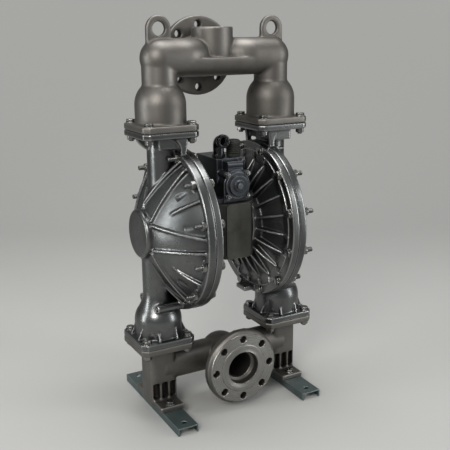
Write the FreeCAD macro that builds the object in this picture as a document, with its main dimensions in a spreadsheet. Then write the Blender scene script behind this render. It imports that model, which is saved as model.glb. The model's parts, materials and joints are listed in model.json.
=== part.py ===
"""Air operated double diaphragm pump with three inch flanged ports, as an assembly of separate pieces.

Frame: X runs along the diaphragm rod, Y from the inlet flange to the outlet flange, Z up.
The origin is on the floor, midway between the rails. Lengths are millimetres.
Pieces of the right hand half are modelled at +X, and their left hand twins are mirrored from them.
"""
import FreeCAD, Part
import math
import os

import Sketcher

SIZES = (
    # overall places
    ("seam_reach", 111.25, "clamping face of the diaphragm from the middle plane"),
    ("upper_column", 150.7, "axis of an upper column from the middle plane"),
    ("lower_column", 174.6, "axis of a lower column from the middle plane"),
    ("inlet_rise", 111.0, "inlet pipe axis above the floor"),
    ("joint_over_inlet", 74.6, "meeting face of the lower square flanges above that axis"),
    ("ring_over_joint", 77.0, "lowest point of the clamping rings above that face"),
    ("joint_over_ring", 44.9, "meeting face of the upper square flanges above the clamping rings"),
    ("outlet_over_joint", 163.5, "outlet pipe axis above that face"),
    # square flanges
    ("square_half", 70.7, "half width of a square flange"),
    ("corner_cut", 13.0, "corner chamfer of a square flange"),
    ("manifold_plate", 15.5, "thickness of a manifold's square flange"),
    ("cap_plate", 14.5, "thickness of a fluid cap's square flange"),
    ("square_bolt", 54.0, "square flange bolt from the column axis, along X and along Y"),
    ("bolt_hole", 6.8, "radius of a clearance hole for the M12 bolts"),
    ("bolt_shank", 6.0, "radius of an M12 shank"),
    ("bolt_head_half", 9.5, "half the width across flats of an M12 head or nut"),
    ("bolt_head_tall", 8.0, "height of an M12 head"),
    ("nut_play", 0.6, "room round the corners of a nut"),
    ("thread_play", 0.05, "gap between a shank and its thread"),
    ("nut_tall", 10.5, "height of an M12 nut"),
    ("stud_end", 4.0, "shank end beyond its nut"),
    ("ring_stud", 16.0, "shank end of a clamping bolt beyond its nut"),
    # fluid caps
    ("ring_radius", 199.0, "outside radius of the clamping rings"),
    ("cap_ring", 19.8, "thickness of a fluid cap's clamping ring"),
    ("ring_land", 16.3, "width of the ring's flat face outside the dome"),
    ("pocket_drop", 11.0, "step from the ring's outer face to the dome"),
    ("dome_deep", 91.75, "dome meets the centre boss at this distance from the clamping face"),
    ("dome_foot", 64.0, "radius of the dome where it meets the centre boss"),
    ("dome_bow", 8.0, "bow of the dome outline over its chord"),
    ("cap_boss_tall", 18.5, "height of the centre boss over the dome"),
    ("cap_boss_radius", 60.0, "radius of the centre boss"),
    ("cap_boss_edge", 8.0, "edge round of the centre boss"),
    ("cap_wall", 9.0, "wall of a fluid cap"),
    ("rib_thick", 6.5, "thickness of a rib on the dome"),
    ("rib_bow", 7.0, "bow of a rib's crest over its chord"),
    ("pair_spread", 36.0, "side step of a paired rib at the rod axis"),
    ("scallop_long", 62.0, "length of a clearance groove down the dome"),
    ("scallop_lean", 35.0, "lean of that groove to the plane of the ring, in degrees"),
    ("bolt_inside", 12.0, "clamping bolt circle inside the edge of the ring"),
    ("bolt_boss", 12.5, "radius of the pad round a clamping bolt"),
    ("pad_inside", 3.5, "middle of that pad inside the bolt circle"),
    ("upper_neck", 36.0, "radius of a fluid cap's upper neck"),
    ("lower_neck", 35.5, "radius of a fluid cap's lower neck"),
    ("lower_bulb", 58.5, "radius of the ball housing under the lower neck"),
    ("bulb_tall", 52.4, "straight part of a lower ball housing above its joint"),
    ("bell_radius", 48.0, "radius where the housing's shoulder turns from convex to concave"),
    ("bell_tall", 32.0, "height of the convex shoulder"),
    ("flare_tall", 76.0, "height of the whole shoulder"),
    ("neck_sink", 14.0, "lower neck runs this far into the centre boss"),
    ("neck_foot", 70.0, "foot of the upper neck above the rod axis"),
    ("passage_foot", 40.0, "foot of the upper neck's passage above the rod axis"),
    ("port_bore", 27.0, "radius of the passage through a neck"),
    ("skirt_half", 29.0, "half width of the block under an upper flange"),
    ("skirt_deep", 52.0, "reach of that block to the front and to the rear"),
    ("skirt_tall", 26.0, "height of that block"),
    ("strut_deep", 60.0, "outer face of the struts under an upper flange from the rod axis"),
    ("strut_thick", 8.0, "thickness of a strut"),
    ("strut_wide", 39.0, "width of a strut at the flange"),
    ("strut_foot", 12.0, "width of a strut at the clamping ring"),
    ("strut_lean", 6.0, "lean of a strut's inner edge towards the middle plane"),
    ("gusset_tall", 31.0, "height of the web at an upper neck's outer side"),
    ("web_thick", 9.0, "thickness of that web"),
    ("toe_tall", 29.0, "height of the small webs on a lower flange"),
    ("toe_thick", 4.5, "thickness of the small webs"),
    ("toe_side", 23.0, "small webs from the middle of the flange's side"),
    ("stud_boss", 11.0, "radius of the long tapped bosses beside the lower neck"),
    ("stud_boss_back", 5.0, "end of the long bosses behind the top of the dome"),
    ("stud_flush", 1.5, "shank end beyond a long boss"),
    # air chambers
    ("chamber_ring", 18.0, "thickness of an air chamber's clamping ring"),
    ("chamber_land", 22.0, "width of the clamping ring's back outside the finned dish"),
    ("hub_radius", 86.0, "outside radius of an air chamber's hub"),
    ("hub_reach", 50.0, "hub face from the middle plane"),
    ("hub_wall", 7.0, "wall of the hub"),
    ("hub_deep", 26.0, "dish behind the hub face, at the hub"),
    ("dish_wall", 6.0, "wall of the finned dish"),
    ("dish_sink", 5.0, "dish behind the back of the ring, at the rim"),
    ("dish_slope", 27.0, "width of the slope at the dish's rim"),
    ("fin_thick", 5.0, "thickness of a cooling fin"),
    ("fin_tab", 3.5, "fin's end tab over its crest"),
    ("fin_rise", 20.0, "fin crest at its middle behind its foot"),
    ("fin_foot", 54.0, "fin crest at the hub from the middle plane"),
    ("fin_count", 20.0, "fins round one air chamber"),
    ("fin_start", -4.0, "angle of the first fin above the front, in degrees"),
    # centre section
    ("centre_depth", 98.0, "front and rear face of the centre body from the rod axis"),
    ("centre_half", 68.0, "half height of the centre body"),
    ("face_half", 33.0, "half width of the centre body's front face"),
    ("side_depth", 82.0, "depth at which the centre body reaches its full width"),
    ("front_plate", 5.0, "thickness of the front and rear cover plates"),
    ("plate_corner", 10.0, "corner round of those plates"),
    ("bush_radius", 20.0, "outside radius of the rod bush"),
    ("bush_long", 34.0, "length of a rod bush"),
    ("seal_radius", 21.0, "outside radius of a rod seal"),
    ("seal_wide", 6.0, "width of a rod seal"),
    # moving core
    ("rod_radius", 15.0, "radius of the diaphragm rod"),
    ("rod_stud", 9.0, "radius of the rod's threaded ends"),
    ("running", 0.06, "radial running clearance of rod, spool and pilot rod"),
    ("rod_room", 1.0, "room round the rod between its bushes"),
    ("sheet_thick", 5.0, "thickness of a diaphragm"),
    ("sheet_grip", 1.5, "half thickness of a diaphragm at its edge"),
    ("grip_inside", 35.0, "inner edge of a diaphragm's clamped rim inside the edge of the ring"),
    ("plate_radius", 78.0, "radius of an inner diaphragm plate"),
    ("outer_plate_radius", 74.0, "radius of an outer diaphragm plate"),
    ("plate_thick", 11.0, "thickness of a diaphragm plate"),
    ("hub_nut_radius", 24.0, "radius of the outer plate's nut boss"),
    ("hub_nut_long", 16.0, "length of that boss"),
    ("pilot_radius", 5.0, "radius of the pilot rod"),
    ("pilot_rise", 34.0, "pilot rod above the diaphragm rod"),
    ("pilot_reach", 66.0, "end of the pilot rod from the middle plane"),
    # check valves
    ("ball_radius", 38.0, "radius of a check ball"),
    ("seat_bore", 32.0, "bore radius of a valve seat"),
    ("seat_radius", 46.0, "outside radius of a valve seat"),
    ("seat_up", 7.0, "seat height above the meeting face of the flanges"),
    ("seat_down", 8.0, "seat height below that face"),
    ("seat_lip", 4.0, "depth of the seat's bevel"),
    ("seat_play", 0.1, "radial play of a seat in its recess"),
    ("ball_rest_gap", 0.3, "gap between a ball at rest and its seat"),
    ("cage_radius", 49.0, "inside radius of a ball housing"),
    ("seal_round", 2.2, "section radius of a flange sealing ring"),
    ("seal_ring", 54.0, "mean radius of a flange sealing ring"),
    ("seal_play", 0.3, "groove wider than its sealing ring on each side"),
    # outlet manifold
    ("upper_bulb", 60.4, "radius of an upper column's ball housing"),
    ("cage_tall", 58.5, "straight part of an upper ball housing above its joint"),
    ("shoulder_tall", 44.0, "height of the shoulder above it"),
    ("riser", 41.6, "radius of an upper column above the shoulder"),
    ("outlet_pipe", 44.5, "radius of the outlet pipe"),
    ("outlet_bore", 35.0, "bore radius of the outlet pipe"),
    ("bore_step", 0.4, "step between the bores of the straight runs and of the elbows"),
    ("elbow_bend", 45.0, "bend radius of the elbows that turn to the rear"),
    ("branch_side", 46.5, "axis of an elbow's rear leg from the middle plane"),
    ("shelf_step", 0.8, "step between the elbows and the web under the crotch boss"),
    ("crotch_boss", 50.0, "radius of the plain boss between the elbows"),
    ("crotch_rear", 24.0, "axis of that boss behind the rod axis"),
    ("crotch_tall", 69.3, "top of that boss above the outlet pipe axis"),
    ("lug_radius", 30.6, "outside radius of a lifting lug"),
    ("lug_tall", 65.9, "lug hole above the outlet pipe axis"),
    ("lug_hole", 15.8, "radius of a lug hole"),
    ("lug_thick", 13.0, "thickness of a lifting lug"),
    # port flanges
    ("port_face", 123.3, "face of a port flange from the rod axis"),
    ("port_radius", 90.0, "radius of a port flange's face"),
    ("port_rim", 97.0, "largest radius of a port flange"),
    ("port_thick", 25.0, "thickness of a port flange"),
    ("port_edge", 9.0, "depth of the slope round a port flange's face"),
    ("port_circle", 76.2, "radius of the port bolt circle"),
    ("port_hole", 9.5, "radius of a port bolt hole"),
    ("port_mouth", 42.4, "bore radius of a port"),
    ("port_mouth_deep", 24.0, "depth of the machined mouth"),
    ("port_raised", 61.0, "radius of the raised sealing face"),
    ("port_step", 1.6, "height of the raised sealing face"),
    ("port_neck", 50.0, "radius of the neck behind a port flange"),
    # inlet manifold and feet
    ("inlet_pipe", 39.8, "radius of the inlet pipe"),
    ("inlet_bore", 31.0, "bore radius of the inlet pipe"),
    ("inlet_middle", 52.0, "radius of the inlet junction"),
    ("inlet_neck", 48.0, "radius of the inlet neck at the junction"),
    ("inlet_neck_end", 58.0, "radius of the inlet neck at its flange"),
    ("inlet_neck_start", 14.0, "start of the inlet neck before the rod axis"),
    ("foot_half", 36.0, "half width of a foot"),
    ("foot_deep", 37.0, "half depth of a foot"),
    ("foot_corner", 15.0, "corner round of a foot"),
    ("foot_pocket", 20.0, "depth of the flutes in a foot"),
    ("foot_rib", 6.0, "thickness of the ribs between the flutes"),
    ("flute_count", 3.0, "flutes on the front and on the rear of a foot"),
    ("pad_half", 31.0, "half width of a foot pad"),
    ("pad_deep", 80.0, "half length of a foot pad"),
    ("pad_thick", 13.0, "thickness of a foot pad"),
    ("pad_bolt", 64.0, "foot bolt from the rod axis"),
    # base rails
    ("rail_side", 177.4, "rail axis from the middle plane"),
    ("rail_half", 26.2, "half width of a rail"),
    ("rail_tall", 19.2, "height of a rail"),
    ("rail_wall", 3.0, "wall of a rail"),
    ("rail_long", 334.0, "length of a rail"),
    ("rail_hole", 6.5, "radius of a rail's fixing hole"),
    ("rail_hole_side", 143.0, "fixing hole from the middle of the rail"),
    # air valve
    ("valve_rise", 112.0, "spool axis above the diaphragm rod"),
    ("valve_half", 34.0, "half width of the air valve body"),
    ("valve_long", 92.0, "half length of the air valve body"),
    ("valve_base", 11.0, "thickness of the air valve's foot flange"),
    ("valve_base_half", 47.0, "half width of that flange"),
    ("valve_top", 36.0, "flat top of the spool housing above the spool axis"),
    ("gasket", 2.0, "thickness of the air valve gasket"),
    ("spool_radius", 17.0, "radius of the spool's lands"),
    ("spool_core", 10.0, "radius of the spool between its lands"),
    ("spool_half", 70.0, "half length of the spool"),
    ("end_plate", 8.0, "thickness of an air valve end cap"),
    ("end_disc", 32.0, "radius of an end cap"),
    ("end_round", 26.0, "radius of the raised part of an end cap"),
    ("end_proud", 6.0, "height of that raised part"),
    ("end_step", 15.0, "radius of the second raised part"),
    ("end_button", 7.0, "radius of the button in the middle of an end cap"),
    ("end_ear", 7.0, "radius of an end cap's ears"),
    ("end_screw", 26.5, "end cap screw from the spool axis, along X and along Z"),
    ("screw_head", 5.0, "radius of an M6 socket head"),
    ("screw_tall", 6.0, "height of an M6 socket head"),
    ("head_half", 36.0, "half width of the air distribution block"),
    ("head_tall", 24.0, "height of that block over the flat top"),
    ("head_front", 60.0, "front face of that block before the rod axis"),
    ("head_rear", 50.0, "rear face of that block behind the rod axis"),
    ("nose_half", 20.0, "half width of the block's nose over the front end cap"),
    ("nose_front", 86.0, "front face of the nose before the rod axis"),
    ("nose_drop", 4.0, "top of the nose below the block"),
    ("nose_rib", 6.0, "height of a rib on the nose"),
    # air fittings
    ("elbow_side", 20.0, "air elbow to the left of the middle plane"),
    ("elbow_front", 40.0, "air elbow's upright leg before the rod axis"),
    ("elbow_leg", 14.0, "radius of the air elbow's legs"),
    ("elbow_collar", 16.5, "radius of the air elbow's mouth collar"),
    ("collar_long", 11.0, "length of that collar"),
    ("elbow_spigot", 11.9, "radius of the air elbow's threaded spigot"),
    ("spigot_long", 10.0, "length of that spigot"),
    ("elbow_bore", 10.5, "bore radius of the air elbow, three quarter inch thread"),
    ("elbow_rise", 42.0, "elbow mouth axis above its seat"),
    ("elbow_mouth", 28.0, "mouth face before the upright leg"),
    ("muffler_side", 20.4, "exhaust muffler to the right of the middle plane"),
    ("muffler_radius", 18.5, "radius of the exhaust muffler"),
    ("muffler_tall", 38.0, "height of the exhaust muffler"),
    ("muffler_hex", 8.0, "height of the muffler's hexagon"),
    ("muffler_stud", 9.0, "radius of the muffler's threaded stud"),
    ("muffler_stud_long", 9.0, "length of that stud"),
)

RING_BOLT_ANGLES = tuple(15 + 30 * step for step in range(12))
STUD_ANGLES = (255, 285)
SCALLOP_ANGLES = (15, 45, 135, 165, 195, 225, 315, 345)
PAIR_ANGLES = (0, 66.5, 113.5, 180, 246.5, 293.5)
SINGLE_ANGLES = (33, 147, 213, 327)
PAIR_TOE = 6.2
PORT_ANGLES = tuple(45 * step for step in range(8))
ELBOW_START = {"right": 180, "left": 270}
END_CORNERS = ((-1, -1), (-1, 1), (1, -1), (1, 1))

OVER = 1.0  # cutting tools and hidden roots run past a face by this much
Vector = FreeCAD.Vector
ALONG_X = Vector(1, 0, 0)
ALONG_Y = Vector(0, 1, 0)
ALONG_Z = Vector(0, 0, 1)

doc = FreeCAD.newDocument("DiaphragmPump")
sheet = doc.addObject("Spreadsheet::Sheet", "Sizes")
nodes = []


class Size:
    """A length together with the sheet formula behind it, so that sums of sizes stay bound to the sheet."""

    def __init__(self, number, formula):
        self.number = number
        self.formula = formula

    def __add__(self, other):
        other = as_size(other)
        return Size(self.number + other.number, "(%s + %s)" % (self.formula, other.formula))

    def __sub__(self, other):
        other = as_size(other)
        return Size(self.number - other.number, "(%s - %s)" % (self.formula, other.formula))

    def __mul__(self, other):
        other = as_size(other)
        return Size(self.number * other.number, "(%s * %s)" % (self.formula, other.formula))

    def __truediv__(self, other):
        other = as_size(other)
        return Size(self.number / other.number, "(%s / %s)" % (self.formula, other.formula))

    def __radd__(self, other):
        return as_size(other) + self

    def __rsub__(self, other):
        return as_size(other) - self

    def __rmul__(self, other):
        return as_size(other) * self

    def __neg__(self):
        return as_size(0) - self


def as_size(value):
    """The value itself if it is a size, or a plain number as one."""
    if isinstance(value, Size):
        return value
    return Size(float(value), "(%.6f)" % value)


def root(value):
    """Square root of a size."""
    return Size(math.sqrt(value.number), "sqrt(%s)" % value.formula)


class Sheet:
    """The driving dimensions, one attribute for each alias of the sheet."""

    def __init__(self, rows):
        for row, (name, number, note) in enumerate(rows, 1):
            sheet.set("A%d" % row, note)
            sheet.set("B%d" % row, str(number))
            sheet.setAlias("B%d" % row, name)
            setattr(self, name, Size(number, "Sizes." + name))
        doc.recompute()


d = Sheet(SIZES)

# places and radii that follow from the sizes in the sheet
d.lower_joint = d.inlet_rise + d.joint_over_inlet
d.rod_rise = d.lower_joint + d.ring_over_joint + d.ring_radius
d.upper_joint = d.rod_rise + d.ring_radius + d.joint_over_ring
d.outlet_rise = d.upper_joint + d.outlet_over_joint
d.pocket_radius = d.ring_radius - d.ring_land
d.bolt_circle = d.ring_radius - d.bolt_inside
d.chamber_rim = d.ring_radius - d.chamber_land
d.grip_radius = d.ring_radius - d.grip_inside
d.dome_reach = d.seam_reach + d.dome_deep
d.cap_boss_reach = d.dome_reach + d.cap_boss_tall
d.stud_boss_reach = d.dome_reach - d.stud_boss_back
d.bulb_top = d.lower_joint + d.bulb_tall
d.flare_top = d.bulb_top + d.flare_tall
d.shoulder_low = d.upper_joint + d.cage_tall
d.shoulder_top = d.shoulder_low + d.shoulder_tall
d.crotch_top = d.outlet_rise + d.crotch_tall
d.lug_rise = d.outlet_rise + d.lug_tall
d.nut_corner = d.bolt_head_half * 2 / math.sqrt(3)


def bind(thing, prop, value):
    """Bind a property to the sheet."""
    thing.setExpression(prop, as_size(value).formula)


def place(thing, at=(0, 0, 0), turn=None):
    """Put a piece at a bound position, turned by a fixed rotation."""
    numbers = [as_size(value).number for value in at]
    thing.Placement = FreeCAD.Placement(Vector(*numbers), turn or FreeCAD.Rotation())
    for axis, value in zip("xyz", at):
        if isinstance(value, Size):
            thing.setExpression("Placement.Base." + axis, value.formula)
    return thing


def facing(direction):
    """The rotation that lays a piece's own Z along a direction."""
    return FreeCAD.Rotation(ALONG_Z, direction)


def round_bar(name, radius, length, at=(0, 0, 0), along=ALONG_Z):
    """A round bar from a point along a direction."""
    bar = doc.addObject("Part::Cylinder", name)
    bind(bar, "Radius", radius)
    bind(bar, "Height", length)
    return place(bar, at, facing(along))


def taper(name, radius_from, radius_to, length, at=(0, 0, 0), along=ALONG_Z):
    """A round taper from a point along a direction."""
    cone = doc.addObject("Part::Cone", name)
    bind(cone, "Radius1", radius_from)
    bind(cone, "Radius2", radius_to)
    bind(cone, "Height", length)
    return place(cone, at, facing(along))


def ball(name, radius, at):
    """A sphere about a point."""
    sphere = doc.addObject("Part::Sphere", name)
    bind(sphere, "Radius", radius)
    return place(sphere, at)


def bend(name, ring, section, start, sweep, at, along=ALONG_Z):
    """Part of a torus about a point."""
    piece = doc.addObject("Part::Torus", name)
    bind(piece, "Radius1", ring)
    bind(piece, "Radius2", section)
    piece.Angle3 = sweep
    turn = facing(along).multiply(FreeCAD.Rotation(ALONG_Z, start))
    return place(piece, at, turn)


def block(name, low, high):
    """A box between two corners."""
    box = doc.addObject("Part::Box", name)
    for prop, start, end in zip(("Length", "Width", "Height"), low, high):
        bind(box, prop, as_size(end) - start)
    return place(box, low)


def hex_bar(name, half, length, at, along=ALONG_Z):
    """A hexagonal bar, given by half its width across flats."""
    bar = doc.addObject("Part::Prism", name)
    bar.Polygon = 6
    bind(bar, "Circumradius", as_size(half) * (1 / math.cos(math.radians(30))))
    bind(bar, "Height", length)
    return place(bar, at, facing(along))


def join(name, pieces, merge=True):
    """One solid from overlapping pieces; merge unites faces that lie in one plane."""
    union = doc.addObject("Part::MultiFuse", name)
    union.Shapes = pieces
    union.Refine = merge
    return union


def group(name, pieces):
    """Separate solids that share one node."""
    compound = doc.addObject("Part::Compound", name)
    compound.Links = pieces
    return compound


def cut(name, base, tools, merge=True):
    """A piece with the tools taken away; merge as for join."""
    tool = tools[0] if len(tools) == 1 else join(name + "_tools", tools, merge)
    difference = doc.addObject("Part::Cut", name)
    difference.Base = base
    difference.Tool = tool
    difference.Refine = merge
    return difference


def tube(name, outside, inside, length, at, along):
    """A round bar with a bore through it."""
    return cut(name, round_bar(name + "_outside", outside, length, at, along),
               [round_bar(name + "_inside", inside, length, at, along)])


def mirrored(name, source, normal=ALONG_X):
    """The twin of a piece on the other side of the middle plane."""
    twin = doc.addObject("Part::Mirroring", name)
    twin.Source = source
    twin.Normal = normal
    return twin


def plane_of(body, role):
    """One of a body's own origin planes."""
    return [feature for feature in body.Origin.OriginFeatures if feature.Role == role][0]


def arc_centre(start, end, radius, side):
    """Centre of the arc of a radius from one point to the other; side 1 bows it to the left."""
    middle = ((start[0] + end[0]) / 2, (start[1] + end[1]) / 2)
    across = (end[0] - start[0], end[1] - start[1])
    chord = math.hypot(*across)
    depth = math.sqrt(max(radius ** 2 - chord ** 2 / 4, 0))
    return (middle[0] + side * across[1] / chord * depth, middle[1] - side * across[0] / chord * depth)


def outline(body, role, corners):
    """A closed sketch through corners (x, y); (x, y, radius, side) reaches its corner by an arc."""
    sketch = body.newObject("Sketcher::SketchObject", body.Name + "_outline")
    sketch.AttachmentSupport = [(plane_of(body, role), "")]
    sketch.MapMode = "FlatFace"
    points = [(as_size(corner[0]), as_size(corner[1])) for corner in corners]
    flat = [(point[0].number, point[1].number) for point in points]
    count = len(corners)
    starts = []
    ends = []
    for index in range(count):
        start = flat[index]
        end = flat[(index + 1) % count]
        goal = corners[(index + 1) % count]
        if len(goal) == 2:
            edge = Part.LineSegment(Vector(*start, 0), Vector(*end, 0))
            sketch.addGeometry(edge, False)
            starts.append(1)
            ends.append(2)
            continue
        centre = arc_centre(start, end, as_size(goal[2]).number, goal[3])
        first = math.atan2(start[1] - centre[1], start[0] - centre[0])
        last = math.atan2(end[1] - centre[1], end[0] - centre[0])
        circle = Part.Circle(Vector(*centre, 0), ALONG_Z, as_size(goal[2]).number)
        if goal[3] > 0:
            sketch.addGeometry(Part.ArcOfCircle(circle, last, first), False)
            starts.append(2)
            ends.append(1)
        else:
            sketch.addGeometry(Part.ArcOfCircle(circle, first, last), False)
            starts.append(1)
            ends.append(2)
    for index in range(count):
        following = (index + 1) % count
        sketch.addConstraint(
            Sketcher.Constraint("Coincident", index, ends[index], following, starts[following]))
    for index in range(count):
        for kind, value in zip(("DistanceX", "DistanceY"), points[index]):
            number = sketch.addConstraint(
                Sketcher.Constraint(kind, -1, 1, index, starts[index], value.number))
            sketch.setExpression("Constraints[%d]" % number, value.formula)
    for index in range(count):
        goal = corners[(index + 1) % count]
        if len(goal) > 2:
            radius = as_size(goal[2])
            number = sketch.addConstraint(Sketcher.Constraint("Radius", index, radius.number))
            sketch.setExpression("Constraints[%d]" % number, radius.formula)
    return sketch


def turned(name, corners, role="XZ_Plane", axis="H_Axis", at=(0, 0, 0)):
    """A body turned about an axis of its sketch."""
    body = doc.addObject("PartDesign::Body", name)
    sketch = outline(body, role, corners)
    revolution = body.newObject("PartDesign::Revolution", name + "_turn")
    revolution.Profile = sketch
    revolution.ReferenceAxis = (sketch, [axis])
    revolution.Angle = 360
    return place(body, at)


def padded(name, corners, thickness, role="XZ_Plane", at=(0, 0, 0), turn=None, middle=True):
    """A body padded from its sketch, to both sides of the sketch plane or upwards from it."""
    body = doc.addObject("PartDesign::Body", name)
    sketch = outline(body, role, corners)
    pad = body.newObject("PartDesign::Pad", name + "_pad")
    pad.Profile = sketch
    bind(pad, "Length", thickness)
    if middle:
        pad.SideType = "Symmetric"
    return place(body, at, turn)


def chord_radius(start, end, bow):
    """Radius of the arc over a chord with a given bow."""
    width = start[0] - end[0]
    height = start[1] - end[1]
    chord_squared = width * width + height * height
    return chord_squared / (8 * bow) + bow / 2


def tangent_radius(narrow, tall):
    """Radius of the arc that leaves a wall upright and steps in by narrow over tall."""
    return (narrow * narrow + tall * tall) / (narrow * 2)


def rounded_outline(half_wide, half_tall, corner):
    """A rectangle with round corners about the origin, run through against the clock."""
    wide = half_wide - corner
    tall = half_tall - corner
    return [
        (-wide, -half_tall, corner, -1),
        (wide, -half_tall),
        (half_wide, -tall, corner, -1),
        (half_wide, tall),
        (wide, half_tall, corner, -1),
        (-wide, half_tall),
        (-half_wide, tall, corner, -1),
        (-half_wide, -tall)]


def keep(label, piece):
    """Register a finished piece under its node name."""
    piece.Label = label
    nodes.append(piece)
    return piece


def around(name, angles, radius, make):
    """Make one thing for each angle round the rod axis; make gets a name, the point and the angle."""
    made = []
    for index, angle in enumerate(angles):
        across = -radius * math.cos(math.radians(angle))
        rise = d.rod_rise + radius * math.sin(math.radians(angle))
        made.append(make("%s_%d" % (name, index), across, rise))
    return made


# fluid caps

def dome_outline(inset=0):
    """Ends of the dome's outline, seen from the side, with the outside moved in by an inset."""
    foot = (d.seam_reach + d.cap_ring - d.pocket_drop - inset, d.pocket_radius - inset)
    top = (d.dome_reach - inset * 0.7, d.dome_foot - inset * 0.8)
    return foot, top


def cap_dome():
    """Solid of the clamping ring, the dome and the centre boss."""
    foot, top = dome_outline()
    ring_face = d.seam_reach + d.cap_ring
    return turned("cap_dome", [
        (d.seam_reach, 0),
        (d.seam_reach, d.ring_radius),
        (ring_face, d.ring_radius),
        (ring_face, d.pocket_radius),
        foot,
        (top[0], top[1], chord_radius(foot, top, d.dome_bow), 1),
        (d.dome_reach, d.cap_boss_radius),
        (d.cap_boss_reach - d.cap_boss_edge, d.cap_boss_radius),
        (d.cap_boss_reach, d.cap_boss_radius - d.cap_boss_edge, d.cap_boss_edge, 1),
        (d.cap_boss_reach, 0)], at=(0, 0, d.rod_rise))


def cap_cavity():
    """The fluid space under the dome."""
    foot, top = dome_outline(d.cap_wall)
    return turned("cap_cavity", [
        (d.seam_reach - 1, 0),
        (d.seam_reach - 1, d.grip_radius),
        (d.seam_reach + 4, d.grip_radius),
        (top[0], top[1], chord_radius((d.seam_reach + 4, d.grip_radius), top, d.dome_bow * 1.6), 1),
        (d.cap_boss_reach - d.cap_wall * 1.4, d.dome_foot - d.cap_wall * 3),
        (d.cap_boss_reach - d.cap_wall * 1.4, 0)], at=(0, 0, d.rod_rise))


def cap_rib(name, angle, offset, inner):
    """A rib along a line at an angle, set off sideways at the rod axis; its crest starts at inner."""
    ring_face = d.seam_reach + d.cap_ring
    outer = (ring_face, d.pocket_radius + 3)
    corners = [
        (inner[0], inner[1], chord_radius(inner, outer, d.rib_bow), 1),
        (inner[0] - d.cap_wall, inner[1]),
        (d.seam_reach + 1, outer[1] - d.cap_wall),
        (ring_face - d.pocket_drop, outer[1]),
        outer]
    side = math.radians(angle)
    at = (0, offset * math.sin(side), d.rod_rise + offset * math.cos(side))
    return padded(name, corners, d.rib_thick, at=at, turn=FreeCAD.Rotation(ALONG_X, 90 - angle))


def cap_ribs():
    """Pairs of ribs that close in towards the ring, and single ribs that rise out of the dome."""
    boss_start = (d.dome_reach + 6, d.cap_boss_radius - 8)
    dome_start = (d.dome_reach - 20, d.dome_foot + 34)
    ribs = []
    for index, angle in enumerate(PAIR_ANGLES):
        ribs.append(cap_rib("rib_low_%d" % index, angle + PAIR_TOE, -d.pair_spread, boss_start))
        ribs.append(cap_rib("rib_high_%d" % index, angle - PAIR_TOE, d.pair_spread, boss_start))
    for index, angle in enumerate(SINGLE_ANGLES):
        ribs.append(cap_rib("rib_single_%d" % index, angle, d.pair_spread * 0, dome_start))
    return ribs


def cap_scallop(name, angle):
    """A round groove down the dome that clears a nut and its spanner."""
    lean = math.radians(d.scallop_lean.number)
    side = math.radians(angle)
    across = -math.cos(side)
    rise = math.sin(side)
    along = Vector(math.sin(lean), -math.cos(lean) * across, -math.cos(lean) * rise)
    start = d.bolt_circle + 8
    at = (d.seam_reach + d.cap_ring + 2, across * start, d.rod_rise + rise * start)
    return round_bar(name, d.bolt_boss, d.scallop_long, at, along)


def outer_gusset(name, column, plate):
    """A web under an upper square flange, from the flange's edge down to the neck's outer side."""
    edge = (column + d.square_half - d.corner_cut / 2, plate - d.web_thick / 2)
    foot = (column + d.upper_neck - 1, plate - d.gusset_tall)
    corners = [
        (column, plate),
        (edge[0], plate),
        edge,
        (foot[0], foot[1], chord_radius(edge, foot, d.corner_cut / 4), 1),
        (column, foot[1])]
    return padded(name, corners, d.web_thick)


def upper_strut(name, deep, plate):
    """A strut from the clamping ring to an upper square flange, narrow at the ring and wide at the flange."""
    inner = d.seam_reach + d.cap_ring / 2 - d.strut_foot / 2
    ring_top = d.rod_rise + root(d.ring_radius * d.ring_radius - d.strut_deep * d.strut_deep)
    low = ring_top - d.cap_ring / 2
    waist = (inner + d.strut_foot, ring_top + d.strut_foot / 2)
    edge = (inner - d.strut_lean + d.strut_wide, plate)
    corners = [
        (inner, low),
        (inner + d.strut_foot, low),
        waist,
        (edge[0], edge[1], chord_radius(waist, edge, d.strut_foot / 2), 1),
        (inner - d.strut_lean, plate)]
    return padded(name, corners, d.strut_thick, at=(0, deep * (d.strut_deep - d.strut_thick / 2), 0))


def square_plate(name, column, low, high):
    """A square flange with cut corners about a column."""
    half = d.square_half
    short = d.square_half - d.corner_cut
    corners = [
        (column - short, -half),
        (column + short, -half),
        (column + half, -short),
        (column + half, short),
        (column + short, half),
        (column - short, half),
        (column - half, short),
        (column - half, -short)]
    return padded(name, corners, high - low, role="XY_Plane", at=(0, 0, low), middle=False)


def corner_places(column):
    """Where the four bolts of a square joint stand."""
    places = []
    for across in (-1, 1):
        for deep in (-1, 1):
            places.append((column + across * d.square_bolt, deep * d.square_bolt))
    return places


def corner_holes(name, column, low, high):
    """Clearance holes of a square flange."""
    holes = []
    for index, (across, deep) in enumerate(corner_places(column)):
        holes.append(round_bar("%s_%d" % (name, index), d.bolt_hole, high - low + 2, (across, deep, low - 1)))
    return holes


def upper_neck_pieces():
    """The outlet neck of a fluid cap, with its flange, block, web and struts."""
    flange_low = d.upper_joint - d.cap_plate
    neck_low = d.rod_rise + d.neck_foot
    column = d.upper_column
    skirt_low = flange_low - d.skirt_tall
    return [
        square_plate("upper_cap_plate", column, flange_low, d.upper_joint),
        round_bar("upper_neck", d.upper_neck, flange_low - neck_low + 1, (column, 0, neck_low)),
        block("upper_skirt", (column - d.skirt_half, -d.skirt_deep, skirt_low),
              (column + d.skirt_half, d.skirt_deep, flange_low + 1)),
        outer_gusset("upper_gusset", column, flange_low),
        upper_strut("upper_strut_front", -1, flange_low),
        upper_strut("upper_strut_rear", 1, flange_low)]


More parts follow.
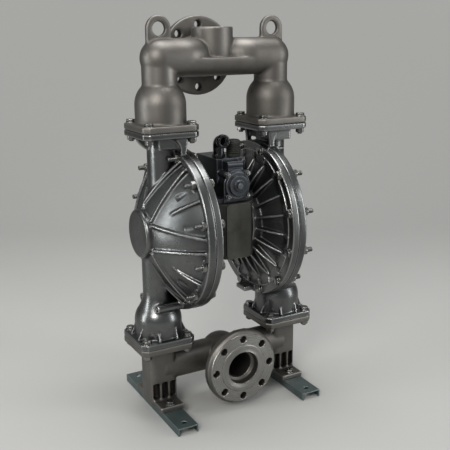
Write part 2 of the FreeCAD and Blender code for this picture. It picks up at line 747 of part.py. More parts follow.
def ball_housing(name, column, neck_top):
    """The lower ball housing: an upright wall, a convex shoulder and a concave run into the neck."""
    bell = d.bulb_top + d.bell_tall
    low = d.lower_joint + d.cap_plate - 1
    shoulder = tangent_radius(d.lower_bulb - d.bell_radius, d.bell_tall)
    run_out = tangent_radius(d.bell_radius - d.lower_neck, d.flare_tall - d.bell_tall)
    return turned(name, [
        (0, low),
        (d.lower_bulb, low),
        (d.lower_bulb, d.bulb_top),
        (d.bell_radius, bell, shoulder, -1),
        (d.lower_neck, d.flare_top, run_out, 1),
        (d.lower_neck, neck_top),
        (0, neck_top)], axis="V_Axis", at=(column, 0, 0))


def toe_webs(column, foot):
    """Pairs of small webs from a square flange up to the ball housing, on each of its four sides."""
    reach = d.square_half - d.toe_thick
    inner = root(d.lower_bulb * d.lower_bulb - d.toe_side * d.toe_side) - 1
    corners = [(0, foot - 1), (reach, foot - 1), (inner, foot + d.toe_tall), (0, foot + d.toe_tall)]
    webs = []
    for index, quarter in enumerate((0, 90, 180, 270)):
        turn = FreeCAD.Rotation(ALONG_Z, quarter)
        for side in (-1, 1):
            across = math.sin(math.radians(quarter)) * side
            along = math.cos(math.radians(quarter)) * side
            at = (column + across * d.toe_side, along * d.toe_side, 0)
            webs.append(padded("toe_web_%d_%d" % (index, side + 1), corners, d.toe_thick, at=at, turn=turn))
    return webs


def lower_neck_pieces():
    """The inlet neck of a fluid cap, with its ball housing, flange, webs and long bolt bosses."""
    column = d.lower_column
    flange_top = d.lower_joint + d.cap_plate
    neck_top = d.rod_rise - d.cap_boss_radius + d.neck_sink
    pieces = [
        square_plate("lower_cap_plate", column, d.lower_joint, flange_top),
        ball_housing("lower_housing", column, neck_top)]
    pieces += toe_webs(column, flange_top)
    pieces += around("stud_boss", STUD_ANGLES, d.bolt_circle, lambda name, across, rise: round_bar(
        name, d.stud_boss, d.stud_boss_reach - d.seam_reach, (d.seam_reach, across, rise), ALONG_X))
    return pieces


def fluid_cap():
    """A fluid cap: ribbed dome, clamping ring, and a flanged neck above and below."""
    solids = [cap_dome()]
    solids += cap_ribs()
    solids += upper_neck_pieces()
    solids += lower_neck_pieces()
    passage_low = d.rod_rise + d.passage_foot
    pad_circle = d.bolt_circle - d.pad_inside
    pad_angles = [angle for angle in RING_BOLT_ANGLES if angle not in STUD_ANGLES]
    solids += around("bolt_pad", pad_angles, pad_circle, lambda name, across, rise: round_bar(
        name, d.bolt_boss, d.cap_ring, (d.seam_reach, across, rise), ALONG_X))
    tools = [
        cap_cavity(),
        round_bar("upper_passage", d.port_bore, d.upper_joint - passage_low, (d.upper_column, 0, passage_low)),
        round_bar("upper_recess", d.seat_radius + d.seat_play, d.seat_down + 1,
                  (d.upper_column, 0, d.upper_joint - d.seat_down)),
        round_bar("lower_cage", d.cage_radius, d.bulb_tall + 1, (d.lower_column, 0, d.lower_joint - 1)),
        taper("lower_cage_top", d.cage_radius, d.port_bore, d.flare_tall, (d.lower_column, 0, d.bulb_top)),
        round_bar("lower_passage", d.port_bore, d.rod_rise - d.cap_boss_radius - d.flare_top,
                  (d.lower_column, 0, d.flare_top - 1)),
        seal_groove("upper_cap_groove", d.upper_column, d.upper_joint),
        seal_groove("lower_cap_groove", d.lower_column, d.lower_joint)]
    tools += corner_holes("upper_hole", d.upper_column, d.upper_joint - d.cap_plate, d.upper_joint)
    tools += corner_holes("lower_hole", d.lower_column, d.lower_joint, d.lower_joint + d.cap_plate)
    tools += around("ring_hole", pad_angles, d.bolt_circle, lambda name, across, rise: round_bar(
        name, d.bolt_hole, d.cap_ring + 2, (d.seam_reach - 1, across, rise), ALONG_X))
    tools += around("stud_hole", STUD_ANGLES, d.bolt_circle, lambda name, across, rise: round_bar(
        name, d.bolt_shank + d.thread_play, d.stud_boss_reach - d.seam_reach + 2,
        (d.seam_reach - 1, across, rise), ALONG_X))
    tools += around("nut_room", pad_angles, d.bolt_circle, lambda name, across, rise: round_bar(
        name, d.nut_corner + d.nut_play, d.dome_reach - d.seam_reach,
        (d.seam_reach + d.cap_ring, across, rise), ALONG_X))
    for index, angle in enumerate(SCALLOP_ANGLES):
        tools.append(cap_scallop("scallop_%d" % index, angle))
    casting = cut("fluid_cap_right", join("cap_solid", solids, merge=False), tools, merge=False)
    right = keep("fluid_cap_right", casting)
    keep("fluid_cap_left", mirrored("fluid_cap_left", right))


# air chambers

def chamber_floor(inset):
    """Corner points of the dish between hub and ring; a positive inset moves them towards the diaphragm."""
    ring_back = d.seam_reach - d.chamber_ring
    return [
        (ring_back + d.dish_sink - 1 + inset, d.chamber_rim),
        (ring_back + d.dish_sink + inset, d.chamber_rim - d.dish_slope),
        (d.hub_reach + d.hub_deep + inset, d.hub_radius + 2)]


def chamber_dish():
    """Solid of the clamping ring, the dish and the hub."""
    ring_back = d.seam_reach - d.chamber_ring
    floor = chamber_floor(0)
    return turned("chamber_dish", [
        (d.seam_reach, 0),
        (d.seam_reach, d.ring_radius),
        (ring_back, d.ring_radius),
        (ring_back, d.chamber_rim),
        floor[0],
        floor[1],
        floor[2],
        (d.hub_reach + d.hub_deep - 3, d.hub_radius),
        (d.hub_reach, d.hub_radius),
        (d.hub_reach, 0)], at=(0, 0, d.rod_rise))


def chamber_cavity():
    """The air space behind the diaphragm."""
    floor = chamber_floor(d.dish_wall)
    inner = d.hub_radius - d.hub_wall + 1.5
    return turned("chamber_cavity", [
        (d.seam_reach + 1, 0),
        (d.seam_reach + 1, d.grip_radius),
        (floor[0][0], d.grip_radius),
        (floor[1][0], floor[1][1] - 4),
        (floor[2][0], inner),
        (d.hub_reach + d.hub_wall, inner),
        (d.hub_reach + d.hub_wall, 0)], at=(0, 0, d.rod_rise))


def chamber_fin(name, angle):
    """A cooling fin in a plane through the rod axis, from the hub to the clamping ring."""
    ring_back = d.seam_reach - d.chamber_ring
    tab = d.chamber_rim - d.fin_tab * 4
    floor = chamber_floor(2)
    corners = [
        (d.fin_foot, d.hub_radius - 5),
        (d.fin_foot + d.fin_rise, (d.hub_radius + tab) / 2),
        (ring_back + d.fin_tab, tab - d.fin_tab),
        (ring_back, tab),
        (ring_back, d.chamber_rim + 3),
        (floor[0][0], d.chamber_rim + 3),
        floor[1],
        floor[2],
        (floor[2][0], d.hub_radius - 5)]
    return padded(name, corners, d.fin_thick, at=(0, 0, d.rod_rise),
                  turn=FreeCAD.Rotation(ALONG_X, 90 - angle))


def air_chamber():
    """An air chamber: clamping ring, finned dish and hub."""
    count = int(d.fin_count.number)
    solids = [chamber_dish()]
    for index in range(count):
        solids.append(chamber_fin("fin_%d" % index, d.fin_start.number + index * 360 / count))
    ring_back = d.seam_reach - d.chamber_ring
    drain_low = d.rod_rise - d.chamber_rim - 14
    solids.append(block("drain_pad", (ring_back - 32, -22, drain_low), (ring_back + 2, 22, drain_low + 12)))
    tools = [chamber_cavity()]
    way_start = d.hub_reach - OVER
    way_long = d.hub_wall + OVER * 2
    tools.append(round_bar("rod_way", d.rod_radius + d.rod_room, way_long, (way_start, 0, d.rod_rise), ALONG_X))
    tools.append(round_bar("pilot_way", d.pilot_radius + d.running, way_long,
                           (way_start, 0, d.rod_rise + d.pilot_rise), ALONG_X))
    tools += around("chamber_hole", RING_BOLT_ANGLES, d.bolt_circle, lambda name, across, rise: round_bar(
        name, d.bolt_hole, d.chamber_ring + 2, (ring_back - 1, across, rise), ALONG_X))
    right = keep("air_chamber_right", cut("air_chamber_right", join("chamber_solid", solids), tools))
    keep("air_chamber_left", mirrored("air_chamber_left", right))


# centre section

def centre_body():
    """The centre body between the air chambers, with its cover plates and rod bushes."""
    face = d.face_half
    wide = d.hub_reach
    front = d.centre_depth
    side = d.side_depth
    corners = [(-face, -front), (face, -front), (wide, -side), (wide, side), (face, front), (-face, front),
               (-wide, side), (-wide, -side)]
    low = d.rod_rise - d.centre_half
    solid = padded("centre_form", corners, d.centre_half * 2, role="XY_Plane", at=(0, 0, low), middle=False)
    bush_start = d.hub_reach - d.seal_wide - d.bush_long
    bore_start = -d.hub_reach - OVER
    bore_long = (d.hub_reach + OVER) * 2
    tools = [
        round_bar("rod_bore", d.rod_radius + d.rod_room, bore_long, (bore_start, 0, d.rod_rise), ALONG_X),
        round_bar("pilot_bore", d.pilot_radius + d.running, bore_long,
                  (bore_start, 0, d.rod_rise + d.pilot_rise), ALONG_X)]
    for side_name, sign in (("right", 1), ("left", -1)):
        along = ALONG_X * sign
        tools.append(round_bar("bush_seat_" + side_name, d.bush_radius, d.bush_long + d.seal_wide + 1,
                               (sign * bush_start, 0, d.rod_rise), along))
        tools.append(round_bar("seal_seat_" + side_name, d.seal_radius, d.seal_wide + 1,
                               (sign * (d.hub_reach - d.seal_wide), 0, d.rod_rise), along))
    keep("centre_body", cut("centre_body", solid, tools))
    for name, sign in (("front", -1), ("rear", 1)):
        middle = sign * (front + d.front_plate / 2)
        corners = rounded_outline(face, d.centre_half, d.plate_corner)
        keep("centre_cover_" + name, padded("plate_" + name, corners, d.front_plate, at=(0, middle, d.rod_rise)))
    bore = d.rod_radius + d.running
    for side_name, sign in (("right", 1), ("left", -1)):
        along = ALONG_X * sign
        start = (sign * bush_start, 0, d.rod_rise)
        keep("rod_bush_" + side_name, tube("bush_" + side_name, d.bush_radius, bore, d.bush_long, start, along))
        start = (sign * (d.hub_reach - d.seal_wide), 0, d.rod_rise)
        keep("rod_seal_" + side_name, tube("seal_" + side_name, d.seal_radius, bore, d.seal_wide, start, along))


# moving core

def moving_core():
    """Rod, pilot rod, diaphragms and their plates."""
    half_sheet = d.sheet_thick / 2
    inner_face = d.seam_reach - half_sheet
    outer_face = d.seam_reach + half_sheet
    shoulder = inner_face - d.plate_thick
    tip = outer_face + d.plate_thick + d.hub_nut_long * 0.7
    rod = turned("diaphragm_rod", [
        (-tip, 0),
        (-tip, d.rod_stud),
        (-shoulder, d.rod_stud),
        (-shoulder, d.rod_radius),
        (shoulder, d.rod_radius),
        (shoulder, d.rod_stud),
        (tip, d.rod_stud),
        (tip, 0)], at=(0, 0, d.rod_rise))
    keep("diaphragm_rod", rod)
    pilot_start = (-d.pilot_reach, 0, d.rod_rise + d.pilot_rise)
    keep("pilot_rod", round_bar("pilot_rod", d.pilot_radius, d.pilot_reach * 2, pilot_start, ALONG_X))
    inner = turned("inner_plate", [
        (shoulder, d.rod_stud),
        (shoulder, d.plate_radius - 5),
        (shoulder + 5, d.plate_radius, 5, 1),
        (inner_face, d.plate_radius),
        (inner_face, d.rod_stud)], at=(0, 0, d.rod_rise))
    keep("inner_plate_right", inner)
    keep("inner_plate_left", mirrored("inner_plate_left", inner))
    nose = outer_face + d.plate_thick + d.hub_nut_long
    outer = turned("outer_plate", [
        (outer_face, 0),
        (outer_face, d.outer_plate_radius),
        (outer_face + 4, d.outer_plate_radius),
        (outer_face + d.plate_thick, d.hub_nut_radius * 1.6),
        (outer_face + d.plate_thick, d.hub_nut_radius),
        (nose, d.hub_nut_radius - 4),
        (nose, 0)], at=(0, 0, d.rod_rise))
    stud_hole = round_bar("outer_plate_hole", d.rod_stud, tip - outer_face + OVER,
                          (outer_face - OVER, 0, d.rod_rise), ALONG_X)
    outer = cut("outer_plate_bored", outer, [stud_hole])
    keep("outer_plate_right", outer)
    keep("outer_plate_left", mirrored("outer_plate_left", outer))
    rim = d.grip_radius
    grip = d.sheet_grip
    sheet_piece = turned("diaphragm", [
        (inner_face, d.rod_stud),
        (inner_face, d.plate_radius + 8),
        (inner_face - 9, (d.plate_radius + rim) / 2),
        (d.seam_reach - grip, rim - 6),
        (d.seam_reach + grip, rim - 6),
        (outer_face - 9, (d.plate_radius + rim) / 2),
        (outer_face, d.plate_radius + 8),
        (outer_face, d.rod_stud)], at=(0, 0, d.rod_rise))
    keep("diaphragm_right", sheet_piece)
    keep("diaphragm_left", mirrored("diaphragm_left", sheet_piece))


# check valves

def seal_groove(name, column, joint):
    """The groove of a flange sealing ring, half in each flange."""
    wide = d.seal_round + d.seal_play
    low = joint - d.seal_round
    rim = round_bar(name + "_rim", d.seal_ring + wide, d.seal_round * 2, (column, 0, low))
    core = round_bar(name + "_core", d.seal_ring - wide, d.seal_round * 2, (column, 0, low))
    return cut(name, rim, [core])


def check_valves():
    """Seats, balls and sealing rings at the four square joints."""
    contact = d.seat_bore + d.seat_lip * 0.28
    drop = root(d.ball_radius * d.ball_radius - contact * contact)
    bevel = d.seat_lip * drop / contact
    seals = {"lower": [], "upper": []}
    levels = (("lower", d.lower_column, d.lower_joint), ("upper", d.upper_column, d.upper_joint))
    for level, column, joint in levels:
        low = joint - d.seat_down
        high = joint + d.seat_up
        for side_name, sign in (("right", 1), ("left", -1)):
            tag = level + "_" + side_name
            seat = turned("seat_" + tag, [
                (d.seat_bore, low),
                (d.seat_radius, low),
                (d.seat_radius, high),
                (d.seat_bore + bevel, high),
                (d.seat_bore, high - d.seat_lip)], axis="V_Axis", at=(sign * column, 0, 0))
            keep("valve_seat_" + tag, seat)
            centre = (sign * column, 0, high - d.seat_lip / 2 + drop + d.ball_rest_gap)
            keep("valve_ball_" + tag, ball("ball_" + tag, d.ball_radius, centre))
            ring = doc.addObject("Part::Torus", "seal_" + tag)
            bind(ring, "Radius1", d.seal_ring)
            bind(ring, "Radius2", d.seal_round)
            seals[level].append(place(ring, (sign * column, 0, joint)))
    for level, rings in seals.items():
        keep("flange_seals_" + level, group("flange_seals_" + level, rings))


# manifolds

def port_flange_outline(sign):
    """Outline of a port flange in the plane of its axis; sign is the side that its face looks to."""
    face = d.port_face
    back = face - d.port_thick
    return [
        (sign * back, 0),
        (sign * back, d.port_rim),
        (sign * (face - d.port_edge), d.port_rim),
        (sign * (face - d.port_step), d.port_radius),
        (sign * (face - d.port_step), d.port_raised),
        (sign * face, d.port_raised),
        (sign * face, 0)]


def port_holes(name, rise, sign):
    """Bolt holes and machined mouth of a port flange."""
    along = ALONG_Y * sign
    start = d.port_face - d.port_thick - 1
    tools = []
    for index, angle in enumerate(PORT_ANGLES):
        across = d.port_circle * math.cos(math.radians(angle))
        up = rise + d.port_circle * math.sin(math.radians(angle))
        tools.append(round_bar("%s_hole_%d" % (name, index), d.port_hole, d.port_thick + 2,
                               (across, sign * start, up), along))
    mouth = d.port_face - d.port_mouth_deep
    tools.append(round_bar(name + "_mouth", d.port_mouth, d.port_mouth_deep + OVER,
                           (0, sign * mouth, rise), along))
    return tools


def outlet_manifold():
    """The outlet manifold: two columns, elbows to the rear flange, crotch boss and lifting lugs."""
    plate_top = d.upper_joint + d.manifold_plate
    shoulder = tangent_radius(d.upper_bulb - d.riser, d.shoulder_tall)
    turn_bore = d.outlet_bore + d.bore_step
    flange_back = d.port_face - d.port_thick
    throat_end = d.port_face - d.port_mouth_deep
    leg_long = d.port_face - d.elbow_bend
    leg_radius = d.outlet_pipe - d.shelf_step / 2
    slant = root(d.branch_side * d.branch_side + leg_long * leg_long)
    overhang = d.outlet_bore * d.branch_side / slant
    pieces = []
    tools = [round_bar("outlet_throat", d.outlet_bore - d.bore_step, throat_end - d.elbow_bend + 1,
                       (0, d.elbow_bend, d.outlet_rise), ALONG_Y)]
    for side_name, sign in (("right", 1), ("left", -1)):
        column = sign * d.upper_column
        leg = sign * d.branch_side
        inward = ALONG_X * -sign
        pieces.append(square_plate("upper_manifold_plate_" + side_name, column, d.upper_joint, plate_top))
        pieces.append(round_bar("upper_bulb_" + side_name, d.upper_bulb, d.shoulder_low - plate_top + 1,
                                (column, 0, plate_top - 1)))
        pieces.append(turned("shoulder_" + side_name, [
            (0, d.shoulder_low),
            (d.upper_bulb, d.shoulder_low),
            (d.riser, d.shoulder_top, shoulder, -1),
            (0, d.shoulder_top)], axis="V_Axis", at=(column, 0, 0)))
        pieces.append(round_bar("riser_" + side_name, d.riser, d.outlet_rise - d.shoulder_top + 1,
                                (column, 0, d.shoulder_top - 1)))
        pieces.append(ball("corner_" + side_name, d.outlet_pipe, (column, 0, d.outlet_rise)))
        run = d.upper_column - d.branch_side - d.elbow_bend
        pieces.append(round_bar("run_" + side_name, d.outlet_pipe, run, (column, 0, d.outlet_rise), inward))
        pieces.append(bend("turn_" + side_name, d.elbow_bend, d.outlet_pipe, ELBOW_START[side_name], 90,
                           (sign * (d.branch_side + d.elbow_bend), d.elbow_bend, d.outlet_rise)))
        pieces += rear_leg("leg_" + side_name, leg, leg_radius, flange_back - d.shelf_step)
        lug = [
            (column - d.lug_radius, d.outlet_rise),
            (column + d.lug_radius, d.outlet_rise),
            (column + d.lug_radius, d.lug_rise),
            (column - d.lug_radius, d.lug_rise, d.lug_radius + 0.01, -1)]
        pieces.append(padded("lug_" + side_name, lug, d.lug_thick))
        tools.append(round_bar("lug_hole_" + side_name, d.lug_hole, d.lug_thick * 3,
                               (column, -d.lug_thick * 1.5, d.lug_rise), ALONG_Y))
        cage_top = d.shoulder_low
        tools.append(round_bar("upper_cage_" + side_name, d.cage_radius, cage_top - d.upper_joint + 1,
                               (column, 0, d.upper_joint - 1)))
        tools.append(taper("upper_cage_top_" + side_name, d.cage_radius, d.outlet_bore,
                           d.shoulder_top - cage_top, (column, 0, cage_top)))
        tools.append(round_bar("riser_bore_" + side_name, d.outlet_bore, d.outlet_rise - d.shoulder_top + 1,
                               (column, 0, d.shoulder_top - 1)))
        tools.append(ball("corner_bore_" + side_name, turn_bore, (column, 0, d.outlet_rise)))
        tools.append(round_bar("run_bore_" + side_name, d.outlet_bore, run + OVER,
                               (column, 0, d.outlet_rise), inward))
        tools.append(bend("turn_bore_" + side_name, d.elbow_bend, turn_bore, ELBOW_START[side_name], 90,
                          (sign * (d.branch_side + d.elbow_bend), d.elbow_bend, d.outlet_rise)))
        tools += rear_leg("leg_bore_" + side_name, leg, d.outlet_bore, throat_end - overhang)
        tools += corner_holes("upper_plate_hole_" + side_name, column, d.upper_joint, plate_top)
        tools.append(seal_groove("outlet_groove_" + side_name, column, d.upper_joint))
    shelf = doc.addObject("Part::Cylinder", "shelf")
    reach = d.branch_side + d.elbow_bend + 7
    bind(shelf, "Radius", d.outlet_pipe - d.shelf_step)
    bind(shelf, "Height", reach * 2)
    shelf.Angle = 180
    turn = FreeCAD.Rotation(ALONG_Z, ALONG_X).multiply(FreeCAD.Rotation(ALONG_Z, -90))
    place(shelf, (-reach, 0, d.outlet_rise - d.shelf_step), turn)
    pieces.append(shelf)
    boss_low = d.outlet_rise - d.shelf_step * 3
    pieces.append(round_bar("crotch_boss", d.crotch_boss, d.crotch_top - boss_low,
                            (0, d.crotch_rear, boss_low)))
    pieces.append(turned("outlet_flange", port_flange_outline(1), role="YZ_Plane", at=(0, 0, d.outlet_rise)))
    pieces.append(round_bar("outlet_neck", d.port_neck, flange_back - d.elbow_bend - 14,
                            (0, d.elbow_bend + 15, d.outlet_rise), ALONG_Y))
    tools += port_holes("outlet", d.outlet_rise, 1)
    solid = join("outlet_solid", pieces, merge=False)
    keep("outlet_manifold", cut("outlet_manifold", solid, tools, merge=False))


def rear_leg(name, side, radius, deep_end):
    """The elbow's rear leg, slanting from the elbow's end to the middle of the flange."""
    start = (side, d.elbow_bend, d.outlet_rise)
    along = Vector(-side.number, d.port_face.number - d.elbow_bend.number, 0)
    slant = root(side * side + (d.port_face - d.elbow_bend) * (d.port_face - d.elbow_bend))
    length = slant * (deep_end - d.elbow_bend) / (d.port_face - d.elbow_bend)
    return [ball(name + "_ball", radius, start), round_bar(name, radius - 0.3, length, start, along)]


def foot_pieces(side_name, sign):
    """A foot of the inlet manifold: a column with round corners on a pad, and its flutes and bolt holes."""
    middle = sign * d.rail_side
    half = d.foot_half
    deep = d.foot_deep
    pad_top = d.rail_tall + d.pad_thick
    column_top = d.lower_joint - d.manifold_plate + 1
    column = padded("foot_" + side_name, rounded_outline(half, deep, d.foot_corner), column_top - d.rail_tall,
                    role="XY_Plane", at=(middle, 0, d.rail_tall), middle=False)
    pad = block("pad_" + side_name, (middle - d.pad_half, -d.pad_deep, d.rail_tall),
                (middle + d.pad_half, d.pad_deep, pad_top))
    count = int(d.flute_count.number)
    wide = (half * 2 - d.foot_rib * (count + 1)) / count
    flute_low = pad_top + 2
    flute_top = d.inlet_rise - d.inlet_pipe + d.foot_rib
    tools = []
    for index in range(count):
        start = middle - half + d.foot_rib + (wide + d.foot_rib) * index
        front = block("flute_front_%s_%d" % (side_name, index), (start, -deep - OVER, flute_low),
                      (start + wide, d.foot_pocket - deep, flute_top))
        tools += [front, mirrored("flute_rear_%s_%d" % (side_name, index), front, ALONG_Y)]
    for way in (-1, 1):
        tools.append(round_bar("pad_hole_%s_%d" % (side_name, way + 1), d.bolt_hole, d.pad_thick + 2,
                               (middle, way * d.pad_bolt, d.rail_tall - 1)))
    return [column, pad], tools


def inlet_manifold():
    """The inlet manifold: cross pipe, front flange, feet and two square flanges."""
    plate_low = d.lower_joint - d.manifold_plate
    run = d.lower_column * 2
    run_start = (-d.lower_column, 0, d.inlet_rise)
    pieces = [round_bar("inlet_run", d.inlet_pipe, run, run_start, ALONG_X)]
    pieces.append(ball("inlet_middle", d.inlet_middle, (0, 0, d.inlet_rise)))
    back = d.port_face - d.port_thick
    pieces.append(taper("inlet_neck", d.inlet_neck, d.inlet_neck_end, back - d.inlet_neck_start,
                        (0, -d.inlet_neck_start, d.inlet_rise), -ALONG_Y))
    pieces.append(turned("inlet_flange", port_flange_outline(-1), role="YZ_Plane", at=(0, 0, d.inlet_rise)))
    tools = [
        round_bar("inlet_run_bore", d.inlet_bore, run, run_start, ALONG_X),
        round_bar("inlet_branch", d.outlet_bore, d.port_face, (0, 0, d.inlet_rise), -ALONG_Y)]
    tools += port_holes("inlet", d.inlet_rise, -1)
    for side_name, sign in (("right", 1), ("left", -1)):
        column = sign * d.lower_column
        pieces.append(square_plate("lower_manifold_plate_" + side_name, column, plate_low, d.lower_joint))
        foot, pockets = foot_pieces(side_name, sign)
        pieces += foot
        tools += pockets
        tools.append(round_bar("inlet_up_" + side_name, d.inlet_bore, d.lower_joint - d.inlet_rise + 1,
                               (column, 0, d.inlet_rise)))
        tools.append(ball("inlet_corner_" + side_name, d.inlet_bore, (column, 0, d.inlet_rise)))
        tools.append(round_bar("lower_recess_" + side_name, d.seat_radius + d.seat_play, d.seat_down + 1,
                               (column, 0, d.lower_joint - d.seat_down)))
        tools += corner_holes("lower_plate_hole_" + side_name, column, plate_low, d.lower_joint)
        tools.append(seal_groove("inlet_groove_" + side_name, column, d.lower_joint))
    keep("inlet_manifold", cut("inlet_manifold", join("inlet_solid", pieces), tools))


# base rails

def base_rails():
    """Two inverted channels under the feet, with fixing holes near their ends."""
    half = d.rail_half
    wall = d.rail_wall
    for side_name, sign in (("left", -1), ("right", 1)):
        corners = [
            (-half, 0),
            (-half + wall, 0),
            (-half + wall, d.rail_tall - wall),
            (half - wall, d.rail_tall - wall),
            (half - wall, 0),
            (half, 0),
            (half, d.rail_tall),
            (-half, d.rail_tall)]
        middle = sign * d.rail_side
        channel = padded("channel_" + side_name, corners, d.rail_long, at=(middle, 0, 0))
        tools = []
        for index, deep in enumerate((-d.rail_hole_side, d.rail_hole_side, -d.pad_bolt, d.pad_bolt)):
            tools.append(round_bar("rail_hole_%s_%d" % (side_name, index), d.rail_hole, d.rail_wall + 2,
                                   (middle, deep, d.rail_tall - d.rail_wall - 1)))
        keep("base_rail_" + side_name, cut("rail_" + side_name, channel, tools))


# air valve

def air_valve():
    """The air valve on top of the centre body: gasket, body, spool, end caps and their screws."""
    base_low = d.rod_rise + d.centre_half + d.gasket
    axis = d.rod_rise + d.valve_rise
    half = d.valve_half
    long_half = d.valve_long
    gasket = block("gasket", (-d.valve_base_half + 1, -long_half + 7, base_low - d.gasket),
                   (d.valve_base_half - 1, long_half - 7, base_low))
    keep("air_valve_gasket", gasket)
    seat_top = axis + d.valve_top + d.head_tall
    nose_top = seat_top - d.nose_drop
    pieces = [
        block("valve_foot", (-d.valve_base_half, -long_half + 6, base_low),
              (d.valve_base_half, long_half - 6, base_low + d.valve_base)),
        block("valve_block", (-half, -long_half, base_low), (half, long_half, axis)),
        round_bar("valve_tube", half, long_half * 2, (0, -long_half, axis), ALONG_Y),
        block("valve_head", (-d.head_half, -d.head_front, axis), (d.head_half, d.head_rear, seat_top)),
        block("valve_nose", (-d.nose_half, -d.nose_front, axis), (d.nose_half, -d.head_front + 1, nose_top))]
    for index in range(2):
        rib_top = nose_top - d.nose_rib * (index * 2 + 1)
        pieces.append(block("nose_rib_%d" % index,
                            (-d.nose_half, -d.nose_front - d.nose_rib / 2, rib_top - d.nose_rib),
                            (d.nose_half, -d.nose_front + OVER, rib_top)))
    for index, (across, up) in enumerate(END_CORNERS):
        pieces.append(round_bar("valve_ear_%d" % index, d.end_ear, long_half * 2,
                                (across * d.end_screw, -long_half, axis + up * d.end_screw), ALONG_Y))
    fitting = -d.elbow_front
    tools = [
        round_bar("spool_bore", d.spool_radius + d.running, (long_half + OVER) * 2,
                  (0, -long_half - OVER, axis), ALONG_Y),
        round_bar("elbow_socket", d.elbow_spigot + d.seat_play, d.spigot_long + 1,
                  (-d.elbow_side, fitting, seat_top - d.spigot_long)),
        round_bar("muffler_socket", d.muffler_stud, d.muffler_stud_long + 1,
                  (d.muffler_side, fitting, seat_top - d.muffler_stud_long))]
    keep("air_valve_body", cut("valve_body", join("valve_solid", pieces), tools))
    keep("air_valve_spool", turned("spool", spool_outline(), role="YZ_Plane", at=(0, 0, axis)))
    screws = []
    for name, sign in (("front", -1), ("rear", 1)):
        keep("air_valve_cap_" + name, end_cap(name, sign, axis))
        out = sign * (long_half + d.end_plate)
        for index, (across, up) in enumerate(END_CORNERS):
            at = (across * d.end_screw, out, axis + up * d.end_screw)
            screws.append(round_bar("end_screw_%s_%d" % (name, index), d.screw_head, d.screw_tall, at,
                                    ALONG_Y * sign))
    keep("air_valve_screws", group("air_valve_screws", screws))


def end_cap(name, sign, axis):
    """A round end cap of the air valve: a disc with four ears, stepped up to a button in its middle."""
    along = ALONG_Y * sign
    face = sign * d.valve_long
    out = face + sign * d.end_plate
    raised = out + sign * d.end_proud
    pieces = [
        round_bar("end_disc_" + name, d.end_disc, d.end_plate, (0, face, axis), along),
        taper("end_round_" + name, d.end_round, d.end_round - 2, d.end_proud, (0, out, axis), along),
        taper("end_step_" + name, d.end_step, d.end_step - 2, d.end_proud / 2, (0, raised, axis), along),
        round_bar("end_button_" + name, d.end_button, d.end_proud, (0, raised, axis), along)]
    for index, (across, up) in enumerate(END_CORNERS):
        pieces.append(round_bar("end_ear_%s_%d" % (name, index), d.end_ear, d.end_plate,
                                (across * d.end_screw, face, axis + up * d.end_screw), along))
    return join("end_cap_" + name, pieces)


def spool_outline():
    """Half outline of the spool: three lands and two waists."""
    far = d.spool_half
    land = far / 5
    radius = d.spool_radius
    core = d.spool_core
    return [
        (-far, 0),
        (-far, radius),
        (-far + land, radius),
        (-far + land, core),
        (-land, core),
        (-land, radius),
        (land, radius),
        (land, core),
        (far - land, core),
        (far - land, radius),
        (far, radius),
        (far, 0)]


def air_fittings():
    """The air inlet elbow and the exhaust muffler on top of the air valve."""
    seat = d.rod_rise + d.valve_rise + d.valve_top + d.head_tall
    side = -d.elbow_side
    leg_y = -d.elbow_front
    mouth_rise = seat + d.elbow_rise
    low = seat - d.spigot_long
    out = leg_y - d.elbow_mouth
    solids = [
        round_bar("elbow_up", d.elbow_leg, d.elbow_rise, (side, leg_y, seat)),
        round_bar("elbow_foot", d.elbow_collar - 1, d.collar_long - 2, (side, leg_y, seat)),
        ball("elbow_corner", d.elbow_leg, (side, leg_y, mouth_rise)),
        round_bar("elbow_out", d.elbow_leg, d.elbow_mouth, (side, leg_y, mouth_rise), -ALONG_Y),
        round_bar("elbow_collar", d.elbow_collar, d.collar_long, (side, out, mouth_rise), ALONG_Y),
        round_bar("elbow_spigot", d.elbow_spigot, d.spigot_long, (side, leg_y, low))]
    tools = [
        round_bar("elbow_bore", d.elbow_bore, d.elbow_mouth + 1, (side, leg_y, mouth_rise), -ALONG_Y),
        round_bar("elbow_down", d.elbow_bore - 1, mouth_rise - low + 1, (side, leg_y, low - 1)),
        ball("elbow_inside", d.elbow_bore, (side, leg_y, mouth_rise))]
    keep("air_inlet_elbow", cut("inlet_elbow", join("elbow_solid", solids), tools))
    side = d.muffler_side
    can_foot = seat + d.muffler_hex
    can_top = seat + d.muffler_tall
    solids = [
        round_bar("muffler_thread", d.muffler_stud - d.seat_play, d.muffler_stud_long,
                  (side, leg_y, seat - d.muffler_stud_long)),
        hex_bar("muffler_hexagon", d.muffler_radius - 4, d.muffler_hex, (side, leg_y, seat)),
        round_bar("muffler_can", d.muffler_radius, can_top - can_foot, (side, leg_y, can_foot)),
        taper("muffler_dome", d.muffler_radius, d.muffler_radius - 4, 4, (side, leg_y, can_top))]
    keep("exhaust_muffler", join("muffler", solids))


# fasteners

def bolt(name, at, along, long):
    """A hexagon bolt: its head stands on at, and its shank goes the other way."""
    head = hex_bar(name + "_head", d.bolt_head_half, d.bolt_head_tall, at, along)
    shank = round_bar(name + "_shank", d.bolt_shank, long, at, -along)
    return join(name, [head, shank])


def nut(name, at, along):
    """A hexagon nut that stands on at."""
    body = hex_bar(name + "_hex", d.bolt_head_half, d.nut_tall, at, along)
    return cut(name, body, [round_bar(name + "_bore", d.bolt_shank + d.thread_play, d.nut_tall, at, along)])


